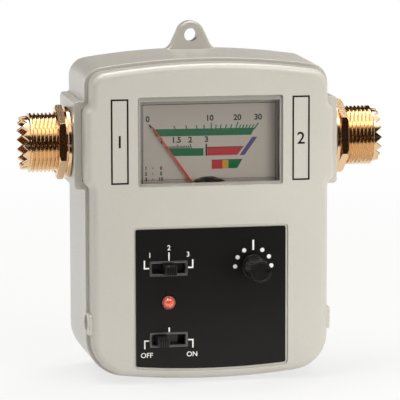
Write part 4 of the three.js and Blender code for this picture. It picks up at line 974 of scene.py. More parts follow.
@dataclass
class Case:
    """The moulded case: front shell, rear shell with its hanging tab, battery door and screws."""

    form: CaseForm = FORM
    plan: PanelPlan = PLAN
    front_round: float = 2.1
    front_rim_round: float = 0.15
    back_round: float = 0.5
    rim_round: float = 0.3
    seam_gap: float = 0.15
    tongue_inset: float = 2.3
    tongue_wall: float = 1.0
    tongue_end: float = 7.6
    tongue_chamfer: float = 0.3
    window_round: float = 0.12
    recess_margin: float = 0.6
    recess_depth: float = 0.4
    recess_round: float = 0.15
    hole_round: float = 0.1
    tab_thickness: float = 3.9
    tab_height: float = 89.8
    tab_radius: float = 3.8
    tab_hole: float = 1.8
    tab_hole_round: float = 0.2
    tab_lean: float = 25.0
    tab_root_radius: float = 3.0
    tab_round: float = 0.8
    notch_height: float = 16.0
    notch_half_tall: float = 2.0
    notch_half_wide: float = 2.5
    notch_bite: float = 1.0
    pad_half_tall: float = 3.0
    pad_front: float = 1.2
    pad_inset: float = 0.1
    pad_corner: float = 1.1
    pad_round: float = 0.5
    pad_root: float = 2.5
    screw_places: tuple = ((-26.5, 78.3), (26.5, 78.3), (-24.5, 10.0), (24.5, 10.0))
    boss_radius: float = 3.3
    front_boss_radius: float = 3.0
    boss_meet: float = 14.0
    screw_seat: float = 17.0
    screw_head_radius: float = 2.4
    screw_head_thickness: float = 2.0
    screw_shank: float = 1.1
    screw_tip: float = 5.0
    clearance: float = 0.3
    bay_half: float = 13.8
    bay_wall: float = 1.2
    bay_front: float = 12.0
    bay_low: float = 6.2
    bay_high: float = 57.8
    lead_slot: tuple = (18.25, 26.25, 53.4)  # its front, its back and its foot
    lug_sides: tuple = (14.0, 16.3)
    lug_front: float = 3.1
    lug_below: float = 2.4
    lug_above: float = 2.6
    post_radius: float = 2.0
    post_front: float = 20.1
    post_side: float = 19.0
    post_height: float = 66.5
    well_round: float = 0.3
    doorway: float = 14.0
    doorway_corner: float = 0.5
    doorway_round: float = 0.2
    hinge_height: float = 6.0
    hinge_radius: float = 1.4
    stub_radius: float = 0.7
    stub_reach: float = 14.9
    stub_hole_radius: float = 0.9
    stub_hole_reach: float = 15.2
    door_thickness: float = 1.7
    door_top: float = 58.1
    door_corner: float = 0.5
    scoop_radius: float = 6.0
    scoop_centre: float = 4.9
    scoop_drop: float = 6.6
    rib_pitch: float = 1.25
    rib_sunk: float = 1.05
    socket_bore: float = 8.24
    bore_reach: float = 37.0

    def lens(self) -> Array:
        """The pry notch's outline in depth and height: two equal arcs that cross at both ends.

        Each arc's radius is half the height squared plus half the width squared, over the width.

        Returns:
            The points.
        """
        tall, wide = self.notch_half_tall, self.notch_half_wide
        radius = (tall**2 + wide**2) / (2 * wide)
        turn = math.atan2(tall, radius - wide)
        near = arc(wide - radius, 0, radius, -turn, turn, 10)
        far = arc(radius - wide, 0, radius, math.pi - turn, math.pi + turn, 10)
        return np.concatenate([near[:-1], far[:-1]]) + [self.form.seam, self.notch_height]

    def notches(self) -> list:
        """Cutters for the two lens-shaped pry notches on the seam."""
        inner = self.form.half_width - self.notch_bite
        sides = (inner, inner + 2 * OVERRUN)
        return [across([(self.lens(), side * hand.value) for side in sides]) for hand in Hand]

    def pads(self) -> list:
        """The lips of the pry notches: low rounded pads that fill the front shell's ledge."""
        rim = self.form.seam - self.seam_gap
        middle, half = (rim + self.pad_front) / 2, (rim - self.pad_front) / 2
        outer = self.form.half_width - self.pad_inset
        rows = [(0.0, outer - self.pad_root)]
        rows += [(i, outer - t) for i, t in edge_round(self.pad_round, 5)[::-1]]

        def outline(inset: float) -> Array:
            """A pad's outline in depth and height, drawn in by an inset."""
            tall, corner = self.pad_half_tall - inset, self.pad_corner - inset
            return rounded_rectangle(half - inset, tall, corner) + [middle, self.notch_height]

        return [across([(outline(i), x * hand.value) for i, x in rows]) for hand in Hand]

    def at_screws(self, radius: float, start: float, end: float) -> list:
        """A rod at each of the four screw places, from one depth to another."""
        return [moved(rod(radius, start, end), x=x, z=z) for x, z in self.screw_places]

    def on_hinge(self, mesh: bpy.types.Mesh) -> bpy.types.Mesh:
        """Moves a mesh that lies across zero to the battery door's hinge line."""
        return moved(mesh, y=self.form.depth - self.hinge_radius, z=self.hinge_height)

    def front_shell(self) -> None:
        """The front shell: a dish with a rounded front, a tongue at its rim and screw bosses."""
        form, plan, lobe, none = self.form, self.plan, self.form.front_lobe, self.form.no_lobe
        rim, ledge, tongue = form.seam - self.seam_gap, form.ledge, self.tongue_inset
        rows = [(y, ledge + i, lobe, 0.0) for i, y in edge_round(self.front_round, 10)]
        rows += [(rim - t, ledge + i, lobe, 0.0) for i, t in edge_round(self.front_rim_round, 3)[::-1]]
        rows += [(y, tongue, none, 0.0) for y in (rim, self.tongue_end - self.tongue_chamfer)]
        rows += [(self.tongue_end, tongue + self.tongue_chamfer, none, 0.0)]
        rows += [(y, tongue + self.tongue_wall, none, 0.0) for y in (self.tongue_end, form.wall)]
        body = form.loft(rows)
        gap, deep = self.clearance, form.wall + OVERRUN
        bosses = self.at_screws(self.front_boss_radius, form.wall - BITE, self.boss_meet - gap)
        pilots = self.at_screws(self.screw_shank + gap, self.screw_tip - gap, self.boss_meet + OVERRUN)
        margin = self.recess_margin
        cuts = [
            flared(lambda grow: plan.window(plan.window_seat + grow), 0, plan.seat_depth, self.window_round),
            prism(plan.opening(0), plan.seat_depth / 2, deep),
            flared(lambda grow: plan.label(margin + grow), 0, self.recess_depth, self.recess_round),
            *plan.control_cuts(0, deep, self.hole_round),
            *pilots,
            *self.notches(),
        ]
        made = carve(body, cuts, [*bosses, *self.pads()])
        place("front_shell_skin", made, CASE_ABS, Body.CASE, "case_plastic", ("front_shell",))

    def tab(self) -> bpy.types.Mesh:
        """The hanging tab: a round head on leaning flanks that sweep out into the case's top.

        Each row draws the head and flanks in by the edge's quarter round, and lets the root arcs
        grow by as much.

        Returns:
            The tab, its front and back edges rounded.
        """
        lean = math.radians(self.tab_lean)
        root = self.form.top - self.form.draft - BITE
        start = np.array([math.cos(lean), math.sin(lean)]) * self.tab_radius + [0, self.tab_height]
        sweep_z = root + self.tab_root_radius * (1 - math.sin(lean))
        sweep_x = start[0] + (start[1] - sweep_z) * math.tan(lean)
        centre = sweep_x + self.tab_root_radius * math.cos(lean)

        def outline(inset: float) -> Array:
            """The tab's outline drawn in by an inset."""
            sweep = self.tab_root_radius + inset
            z = root + self.tab_root_radius
            head = arc(0, self.tab_height, self.tab_radius - inset, lean, math.pi - lean, 30)
            right = arc(centre, z, sweep, -QUARTER, lean - math.pi, 12)
            left = arc(-centre, z, sweep, -lean, -QUARTER, 12)
            foot = np.array([[-centre, root - 3.0], [centre, root - 3.0]])
            return np.concatenate([foot, right, head, left])

        back = self.form.depth
        front = back - self.tab_thickness
        rows = [(i, front + t) for i, t in edge_round(self.tab_round, 6)]
        rows += [(i, back - t) for i, t in edge_round(self.tab_round, 6)[::-1]]
        return through([(outline(i), y) for i, y in rows])

    def tab_hole_cuts(self) -> list:
        """Two cutters from either face, so that both edges of the tab's hole are rounded."""

        def mouth(grow: float) -> Array:
            """The hole's outline."""
            return circle(0, self.tab_height, self.tab_hole + grow, 48)

        back = self.form.depth
        half = self.tab_thickness / 2 + 0.1
        return [
            flared(mouth, back, half, self.tab_hole_round, -1),
            flared(mouth, back - self.tab_thickness, half, self.tab_hole_round),
        ]

    def bay(self) -> tuple[list, list]:
        """The battery bay's walls and lugs, and what is cut out of them.

        Returns:
            The solids to join and the cutters.
        """
        inside, wall = self.form.depth - self.form.wall, self.bay_wall
        outer = self.bay_half + wall
        hull = block((-outer, self.bay_front, self.bay_low), (outer, inside + BITE, self.bay_high + wall))
        room = block(
            (-self.bay_half, self.bay_front + wall, self.bay_low + wall),
            (self.bay_half, inside + OVERRUN, self.bay_high),
        )
        front, back, foot = self.lead_slot
        slot = block((0, front, foot), (outer + OVERRUN, back, self.bay_high))
        lug_start = self.form.depth - self.hinge_radius - self.lug_front
        near, far = self.lug_sides
        lugs = [
            block(
                (low, lug_start, self.hinge_height - self.lug_below),
                (high, inside + BITE, self.hinge_height + self.lug_above),
            )
            for low, high in ((near, far), (-far, -near))
        ]
        return [hull, *lugs], [room, slot]

    def doorway_cuts(self) -> list:
        """The doorway in the back wall, the barrel's room and the stubs' holes."""
        back, inside = self.form.depth, self.form.depth - self.form.wall
        low = self.hinge_height - self.hinge_radius - self.clearance
        high = self.door_top + self.clearance
        middle, half = (low + high) / 2, (high - low) / 2

        def mouth(grow: float) -> Array:
            """The doorway's outline."""
            corner = self.doorway_corner + grow
            return rounded_rectangle(self.doorway + grow, half + grow, corner) + [0, middle]

        return [
            flared(mouth, back, back - inside, self.doorway_round, -1),
            block((-self.doorway, inside - OVERRUN, low), (self.doorway, inside + 0.1, self.bay_high)),
            self.on_hinge(axle(self.hinge_radius + self.clearance, self.doorway)),
            self.on_hinge(axle(self.stub_hole_radius, self.stub_hole_reach)),
        ]

    def rear_shell(self) -> None:
        """The rear shell: a deep tray with rounded rim and back, bores, wells, bay and tab."""
        form, lobe = self.form, self.form.back_lobe
        back, inside, seam = form.depth, form.depth - form.wall, form.seam
        rows = [(inside, form.wall, lobe, form.draft), (seam, form.wall, lobe, 0.0)]
        rows += [(seam + t, i, lobe, 0.0) for i, t in edge_round(self.rim_round, 4)]
        rows += [(back - t, i, lobe, form.draft) for i, t in edge_round(self.back_round, 10)[::-1]]
        body = form.loft(rows)
        gap, meet, seat = self.clearance, self.boss_meet, self.screw_seat
        bosses = self.at_screws(self.boss_radius, meet, inside + BITE)
        holes = self.at_screws(self.screw_shank + gap, meet - OVERRUN, seat + OVERRUN)
        well, soft = self.screw_head_radius + gap, self.well_round
        wells = [
            flared(lambda grow, x=x, z=z: circle(x, z, well + grow, 40), back, back - seat, soft, -1)
            for x, z in self.screw_places
        ]
        posts = [
            moved(rod(self.post_radius, self.post_front, inside + BITE), x=x, z=self.post_height)
            for x in (-self.post_side, self.post_side)
        ]
        bore = axle(self.socket_bore, self.bore_reach, 64)
        walls, hollows = self.bay()
        tray = carve(body, [moved(bore, y=form.socket_depth, z=form.socket_height)], [self.tab()])
        cuts = [
            *hollows,
            *self.doorway_cuts(),
            *self.tab_hole_cuts(),
            *wells,
            *holes,
            *self.notches(),
        ]
        made = carve(tray, cuts, [*walls, *bosses, *posts])
        place("rear_shell_skin", made, CASE_ABS, Body.CASE, "case_plastic", ("rear_shell",))

    def door(self) -> None:
        """The battery door: a panel with a rounded lower edge on two stubs, a scoop and ribs."""
        half = self.doorway - self.clearance
        back = self.form.depth
        hinge = back - self.hinge_radius
        inner = back - self.door_thickness
        meet = math.acos((inner - hinge) / self.hinge_radius)
        barrel = arc(hinge, self.hinge_height, self.hinge_radius, meet, 2 * math.pi, 24)
        corner = self.door_corner
        top = arc(back - corner, self.door_top - corner, corner, 0, QUARTER, 6)
        outline = np.concatenate([barrel, top, [[inner, self.door_top]]])
        panel = across([(outline, half - 0.01), (outline, 0.01 - half)])
        stubs = self.on_hinge(axle(self.stub_radius, self.stub_reach))
        grip_height = self.door_top - self.scoop_drop
        scoop = axle(self.scoop_radius, self.scoop_radius, SIDES)
        moved(scoop, y=back + self.scoop_centre, z=grip_height)
        profile = np.array([[0, -5.6], [0.2, -5.5], [0.32, -5.2], [0.32, 5.2], [0.2, 5.5], [0, 5.6]])
        ribs = []
        for step in (-1, 0, 1):
            rib = turned_about(turned(profile, 20), 90, "Z")
            ribs.append(moved(rib, y=back - self.rib_sunk, z=grip_height + step * self.rib_pitch))
        made = carve(carve(panel, [scoop], [stubs]), [], ribs)
        place("battery_door_skin", made, CASE_ABS, Body.DOOR, "case_plastic", ("battery_door",), bevel=0.12)

    def screws(self) -> None:
        """Four pan-head case screws with a cross recess."""
        seat = self.screw_seat + self.clearance
        back = seat + self.screw_head_thickness
        radius = self.screw_head_radius
        dome = arc(0, 0, 1, 0, QUARTER, 8) * [radius, 0.9]
        profile = np.concatenate(
            [
                [[0, self.screw_tip], [0.5, self.screw_tip + 0.1], [self.screw_shank, self.screw_tip + 1.6]],
                [[self.screw_shank, seat], [radius, seat]],
                dome[:-1] + [0, back - 0.9],
                [[0, back]],
            ]
        )
        mouth = rounded_rectangle(1.3, 0.33, 0.1, 3)
        floor = rounded_rectangle(0.6, 0.2, 0.1, 3)
        for number, (x, z) in enumerate(self.screw_places, 1):
            arms = [
                turned_about(through([(floor, back - 1.1), (mouth, back + 0.2)]), turn, "Y")
                for turn in (0, 90)
            ]
            made = moved(carve(turned(profile, 48), arms), x=x, z=z)
            name = f"case_screw_{number}"
            place(f"{name}_turned", made, NICKEL_STEEL, Body.CASE, "steel", (name,))

    def build(self) -> None:
        """Makes every moulded part of the case and its screws."""
        self.front_shell()
        self.rear_shell()
        self.door()
        self.screws()


def band(path: Array, width: float, face: float, back: float, closed: bool = False) -> bpy.types.Mesh:
    """A flat band of even width along a line, mitred where the line turns.

    Each point moves to either side along the sum of its two stretches' normals, times half the
    width and twice over the sum's own square, which keeps both stretches as wide as they should be.

    Args:
        path: Rows of side and height.
        width: The band's width.
        face: The depth of its front.
        back: The depth of its back.
        closed: Whether the line ends where it starts.

    Returns:
        The closed mesh.
    """
    after = np.roll(path, -1, axis=0) - path
    before = path - np.roll(path, 1, axis=0)
    if not closed:
        after[-1], before[0] = before[-1], after[0]
    normals = [
        np.stack([-run[:, 1], run[:, 0]], axis=1) / np.linalg.norm(run, axis=1)[:, None]
        for run in (after, before)
    ]
    total = normals[0] + normals[1]
    step = total * width / (total**2).sum(axis=1)[:, None]
    left, right = path + step, path - step
    rings = np.stack(
        [at_depth(left, face), at_depth(right, face), at_depth(right, back), at_depth(left, back)], axis=1
    )
    return skin(rings, closed)


def lettering(
    words: str, x: float, z: float, height: float, face: float, back: float, weight: float = 0.01
) -> bpy.types.Mesh:
    """Printed lettering in the built-in typeface, centred on a place.

    Args:
        words: What it says.
        x: Its middle across.
        z: Its middle up.
        height: How high its figures stand.
        face: The depth of its front.
        back: The depth of its back.
        weight: How far each stroke is thickened, as a share of the letter size.

    Returns:
        The closed mesh.
    """
    curve = bpy.data.curves.new("lettering", "FONT")
    curve.body = words
    curve.align_x = "CENTER"
    curve.extrude = 0.5
    curve.resolution_u = 4
    curve.offset = weight
    holder = linked("lettering", curve)
    graph = bpy.context.evaluated_depsgraph_get()
    made = bpy.data.meshes.new_from_object(holder.evaluated_get(graph))
    bpy.data.objects.remove(holder)
    flat = np.empty(len(made.vertices) * 3)
    made.vertices.foreach_get("co", flat)
    points = flat.reshape(-1, 3)
    low, high = points.min(axis=0), points.max(axis=0)
    scale = height / (high[1] - low[1])
    spread = (points - (low + high) / 2) * [scale, scale, back - face]
    stood = np.stack([spread[:, 0] + x, (face + back) / 2 - spread[:, 2], spread[:, 1] + z], axis=1)
    made.vertices.foreach_set("co", stood.ravel())
    return closed_up(made)


@dataclass
class FrontPrint:
    """The film on the front with its white marks, and the black print on the case beside the meter."""

    plan: PanelPlan = PLAN
    face: float = 0.05
    thickness: float = 0.25
    ink: float = 0.025
    dot_degrees: tuple = (0, 30, 60, 120, 150, 180)
    dot_ring: float = 4.88
    dot_radius: float = 0.57
    line_start: float = 4.3
    line_end: float = 7.0
    line_width: float = 0.5
    bracket_width: float = 0.38
    bracket_out: float = 6.45
    bracket_in: float = 5.2
    bracket_drop: float = 0.16
    bracket_length: float = 2.15
    mark_shift: float = 0.1
    figure_height: float = 1.35
    frame_inner: float = 22.07
    frame_outer: float = 26.3
    frame_low: float = 53.68
    frame_high: float = 75.68
    frame_width: float = 0.45
    numeral_height: float = 3.2

    def film(self) -> None:
        """The black film in its recess."""
        plan, back = self.plan, self.face + self.thickness
        rows = [(-0.05, self.face), (0.0, self.face + 0.05), (0.0, back)]
        sheet = through([(plan.label(grow), y) for grow, y in rows])
        made = carve(sheet, plan.control_cuts(self.face, back + OVERRUN, 0.03))
        place("front_label_film", made, LABEL_FILM, Body.CASE, "label_film", ("front_label",))

    @property
    def inked(self) -> tuple[float, float]:
        """The depths of the front and back of the ink on the film."""
        return self.face - self.ink, self.face + self.ink

    def knob_marks(self) -> list:
        """Six dots on an arc above the knob, and an upright line at its top."""
        side, height, ring = self.plan.knob_side, self.plan.knob_height, self.dot_ring
        dots = [
            circle(side + ring * math.cos(turn), height + ring * math.sin(turn), self.dot_radius)
            for turn in np.radians(self.dot_degrees)
        ]
        line = np.array([[0, self.line_start], [0, self.line_end]]) + [side, height]
        return [*[prism(dot, *self.inked) for dot in dots], band(line, self.line_width, *self.inked)]

    def brackets(self, height: float, way: int) -> list:
        """The two corner brackets of a switch.

        Args:
            height: How high the switch lies.
            way: 1 where the brackets rise, and -1 where they hang.

        Returns:
            The meshes.
        """
        side = self.plan.switch_side
        foot = height + way * self.bracket_drop
        end = foot + way * self.bracket_length
        made = []
        for hand in Hand:
            corner, inner = (side + hand.value * out for out in (self.bracket_out, self.bracket_in))
            path = np.array([[corner, end], [corner, foot], [inner, foot]])
            made.append(band(path, self.bracket_width, *self.inked))
        return made

    def middle_mark(self, height: float, start: float, end: float) -> bpy.types.Mesh:
        """The upright mark above the middle of a switch."""
        side = self.plan.switch_side + self.mark_shift
        line = np.array([[side, height + start], [side, height + end]])
        return band(line, self.bracket_width, *self.inked)

    def figures(self) -> list:
        """Plain numbers for the upper switch, and ON and OFF for the lower one."""
        side, height = self.plan.switch_side, self.figure_height
        upper, lower = self.plan.range_height, self.plan.power_height
        marks = [
            ("1", side - 5.0, upper + 3.7),
            ("2", side + 0.1, upper + 5.55),
            ("3", side + 5.2, upper + 3.7),
            ("OFF", side - 5.9, lower - 4.0),
            ("ON", side + 6.2, lower - 4.0),
        ]
        return [lettering(words, x, z, height, *self.inked) for words, x, z in marks]

    def white_print(self) -> None:
        """Everything that is printed white on the film, as one skin of ink."""
        plan = self.plan
        parts = [
            *self.knob_marks(),
            *self.brackets(plan.range_height, 1),
            *self.brackets(plan.power_height, -1),
            self.middle_mark(plan.range_height, 2.1, 4.3),
            self.middle_mark(plan.power_height, 2.1, 3.3),
            *self.figures(),
        ]
        place("film_white_print", merged(parts), WHITE_INK, Body.CASE, "label_film", smooth=False)

    def case_print(self) -> None:
        """The two upright black frames beside the meter, each with a plain numeral."""
        parts = []
        for hand, words in ((Hand.LEFT, "1"), (Hand.RIGHT, "2")):
            corners = np.array(
                [
                    [self.frame_inner, self.frame_low],
                    [self.frame_outer, self.frame_low],
                    [self.frame_outer, self.frame_high],
                    [self.frame_inner, self.frame_high],
                ]
            ) * [hand.value, 1]
            parts.append(band(corners, self.frame_width, -self.ink, self.ink, True))
            middle = hand.value * (self.frame_inner + self.frame_outer) / 2
            height = (self.frame_low + self.frame_high) / 2
            parts.append(lettering(words, middle, height, self.numeral_height, -self.ink, self.ink))
        place("case_black_print", merged(parts), BLACK_INK, Body.CASE, "black_plastic", smooth=False)

    def build(self) -> None:
        """Makes the film and both layers of print."""
        self.film()
        self.white_print()
        self.case_print()


def softened_block(low: tuple, high: tuple, radius: float, steps: int = 4) -> bpy.types.Mesh:
    """A block whose upright corners are arcs and whose front edge is a quarter round.

    Args:
        low: Its lowest corner in side, depth and height.
        high: Its highest corner.
        radius: The radius of its corners and of its front edge.
        steps: Steps in each round.

    Returns:
        The closed mesh.
    """
    middle = [(low[0] + high[0]) / 2, (low[2] + high[2]) / 2]
    half = [(high[0] - low[0]) / 2, (high[2] - low[2]) / 2]
    rows = [(i, low[1] + t) for i, t in edge_round(radius, steps)] + [(0.0, high[1])]
    corner = radius * 1.02  # a touch more, so that the innermost outline's corner isn't zero
    return through(
        [(rounded_rectangle(half[0] - i, half[1] - i, corner - i, steps) + middle, y) for i, y in rows]
    )


@dataclass
class SlideSwitch:
    """A slide switch: a bezel that lines the slot, and a slider with a ribbed lever."""

    title: str
    body: Body
    height: float
    shift: float
    side: float = PLAN.switch_side
    bezel_half_width: float = 5.1
    bezel_half_height: float = 2.02
    bezel_front: float = -0.22
    bezel_back: float = 0.05
    bezel_round: float = 0.2
    collar_half_width: float = 4.58
    collar_half_height: float = 1.53
    collar_back: float = 1.95
    room_half_width: float = 4.4
    room_half_height: float = 1.35
    lever_half_width: float = 1.55
    lever_half_height: float = 1.2
    lever_reach: float = 4.4
    base_front: float = 2.3
    base_back: float = 3.8
    base_half_width: float = 4.9
    base_half_height: float = 1.9
    rib_count: int = 4
    rib_width: float = 0.34
    rib_cut: float = 0.3

    def bezel(self) -> None:
        """The glossy bezel, its near black partly lifted to grey as a painted highlight: a low rounded frame
        on the film and a collar through the slot.
        """
        wide, tall, back = self.bezel_half_width, self.bezel_half_height, self.bezel_back
        rows = [(wide - i, tall - i, self.bezel_front + t) for i, t in edge_round(self.bezel_round, 4)]
        rows += [(wide, tall, back)]
        rows += [(self.collar_half_width, self.collar_half_height, y) for y in (back, self.collar_back)]
        hull = through([(rounded_rectangle(w, h, 0.3), y) for w, h, y in rows])

        def mouth(grow: float) -> Array:
            """The opening that the lever slides in."""
            half_width, half_height = self.room_half_width + grow, self.room_half_height + grow
            return rounded_rectangle(half_width, half_height, 0.15 + grow)

        made = carve(hull, [flared(mouth, self.bezel_front, self.collar_back + 2 * OVERRUN, 0.35)])
        moved(made, x=self.side, z=self.height)
        # The bezel's grey is partly a painted highlight, standing for the light its edges catch.
        place(f"{self.title}_bezel", made, GREY_BEZEL_PAINTED_HIGHLIGHT, Body.CASE, "black_plastic")

    def slider(self) -> None:
        """The slider: a flat base behind the panel and a lever with upright grooves in its tip."""
        wide, tall = self.lever_half_width, self.lever_half_height
        base = softened_block(
            (-self.base_half_width, self.base_front, -self.base_half_height),
            (self.base_half_width, self.base_back, self.base_half_height),
            0.2,
        )
        lever = softened_block((-wide, -self.lever_reach, -tall), (wide, self.base_back - 0.2, tall), 0.18)
        pitch = 2 * wide / (self.rib_count + 1)
        places = (np.arange(self.rib_count) - (self.rib_count - 1) / 2) * pitch
        half, deep = self.rib_width / 2, self.rib_cut
        vee = [[-half - 0.1, -OVERRUN], [half + 0.1, -OVERRUN], [half, 0.0]]
        vee += [[0.06, deep], [-0.06, deep], [-half, 0.0]]
        grooves = []
        for x in places:
            groove = np.array(vee) + [x, -self.lever_reach]
            rings = [np.insert(groove, 2, z, axis=1) for z in (-tall - OVERRUN, tall + OVERRUN)]
            grooves.append(skin(np.stack(rings)))
        made = carve(base, grooves, [lever])
        moved(made, x=self.side + self.shift, z=self.height)
        name = f"{self.title}_slider"
        place(f"{name}_moulded", made, BLACK_ABS, self.body, "black_plastic", (name,))

    def build(self) -> None:
        """Makes the bezel and the slider, and dresses the switch's can."""
        self.bezel()
        self.slider()
        # The can's dark colour is painted shade for the inside of the slot.
        dress(SLOT_SHADE_DARK_STEEL, f"{self.title}_body")


@dataclass
class StatusLamp:
    """The lamp: a cast red dome with a pale collar round it and two legs."""

    side: float = PLAN.lamp_side
    height: float = PLAN.lamp_height
    radius: float = 1.7
    reach: float = 1.7
    dome_depth: float = 1.45
    flange_radius: float = 2.1
    flange_thickness: float = 1.0
    body_back: float = 4.6
    collar_inner: float = 1.56
    leg_pitch: float = 2.54
    leg_half: float = 0.25
    leg_end: float = 10.4

    def build(self) -> None:
        """Makes the dome and its collar."""
        inner, deep, back, half = self.collar_inner, self.dome_depth, self.body_back, self.leg_half
        dome = arc(0, 0, 1, -QUARTER, 0, 14) * [inner, deep] + [0, deep - self.reach]
        shoulder = back - self.flange_thickness
        profile = np.concatenate(
            [
                dome,
                [[inner, 0.3], [self.radius, 0.32], [self.radius, shoulder]],
                [[self.flange_radius, shoulder + 0.15], [self.flange_radius, back], [0, back]],
            ]
        )
        lens = turned(profile, 64)
        legs = [
            block((x - half, back - BITE, -half), (x + half, self.leg_end, half))
            for x in (-self.leg_pitch / 2, self.leg_pitch / 2)
        ]
        made = moved(carve(lens, [], legs), x=self.side, z=self.height)
        place("status_lamp_dome", made, LAMP_EPOXY, Body.CASE, "red_lens", ("status_lamp",))
        lip = arc(0, 0, 0.12, math.pi, 2 * math.pi, 8) + [(inner + self.radius) / 2, -0.28]
        ring = np.concatenate([lip, [[self.radius, 0.25], [inner, 0.25]]])
        collar = moved(turned(ring, 64, True), x=self.side, z=self.height)
        place("status_lamp_collar", collar, LAMP_RESIN, Body.CASE, "red_lens")


@dataclass
class SetKnob:
    """The set knob: a skirt, a finely fluted grip, an end face with a raised edge, and a pointer."""

    side: float = PLAN.knob_side
    height: float = PLAN.knob_height
    base_radius: float = 3.35
    end_radius: float = 2.85
    reach: float = 10.2
    foot: float = -0.3
    skirt: float = 1.6
    flutes: int = 18
    flute_depth: float = 0.13
    bore_radius: float = 1.8
    bore_end: float = -7.7
    pointer_degrees: float = 10.0
    pointer_inner: float = 1.1
    pointer_width: float = 0.7
    pointer_depth: float = 0.5

    def grip(self) -> bpy.types.Mesh:
        """The turned body with its flutes.

        The radius is the profile's, less the flute's depth times the fourth power of half of one
        plus the cosine of the flute count times the angle, faded in and out along the grip.

        Returns:
            The closed mesh.
        """
        end, top = -self.reach, self.end_radius
        skirt_end = self.foot - self.skirt
        rim = arc(0, 0, 1, -QUARTER, 0, 6) * [0.22, 0.3]
        rows = [(0.0, end + 0.14, 0.0), (top - 0.55, end + 0.14, 0.0), (top - 0.42, end + 0.02, 0.0)]
        rows += [(top - 0.22 + x, end + 0.3 + y, 0.0) for x, y in rim]
        start, stop = end + 0.55, skirt_end - 0.45
        share = np.linspace(0, 1, 14)
        fade = np.clip(np.minimum(share, 1 - share) * 10, 0, 1)
        neck = self.base_radius - 0.32
        rows += list(zip(top + (neck - top) * share, start + (stop - start) * share, fade))
        rows += [(neck, skirt_end - 0.1, 0.0), (self.base_radius - 0.1, skirt_end - 0.02, 0.0)]
        rows += [(self.base_radius, skirt_end + 0.12, 0.0), (self.base_radius, self.foot - 0.1, 0.0)]
        rows += [(self.base_radius - 0.1, self.foot, 0.0), (0.0, self.foot, 0.0)]
        radius, depth, weight = (np.array(column)[:, None] for column in zip(*rows))
        angle = np.arange(SIDES * 3) * (2 * math.pi / (SIDES * 3))
        flute = (0.5 + 0.5 * np.cos(self.flutes * angle)) ** 4
        reach = radius - weight * self.flute_depth * flute
        rings = np.stack(
            [reach * np.cos(angle), np.broadcast_to(depth, reach.shape), reach * np.sin(angle)], axis=-1
        )
        return skin(rings)

    def build(self) -> None:
        """Makes the knob with its pointer's groove, and dresses its shaft and potentiometer."""
        end = -self.reach
        bore = rod(self.bore_radius, self.bore_end, OVERRUN, 48)
        length = self.end_radius - self.pointer_inner + OVERRUN
        middle = self.pointer_inner + length / 2
        trench = rounded_rectangle(length / 2, self.pointer_width / 2, 0.3) + [middle, 0]
        groove = prism(trench, end - OVERRUN, end + self.pointer_depth)
        turned_about(groove, -self.pointer_degrees, "Y")
        made = moved(carve(self.grip(), [bore, groove]), x=self.side, z=self.height)
        place("set_knob_moulded", made, KNOB_ABS, Body.KNOB, "black_plastic", ("set_knob",))
        dress(TURNED_BRASS, "set_shaft")
        dress(NICKEL_STEEL, "set_potentiometer")


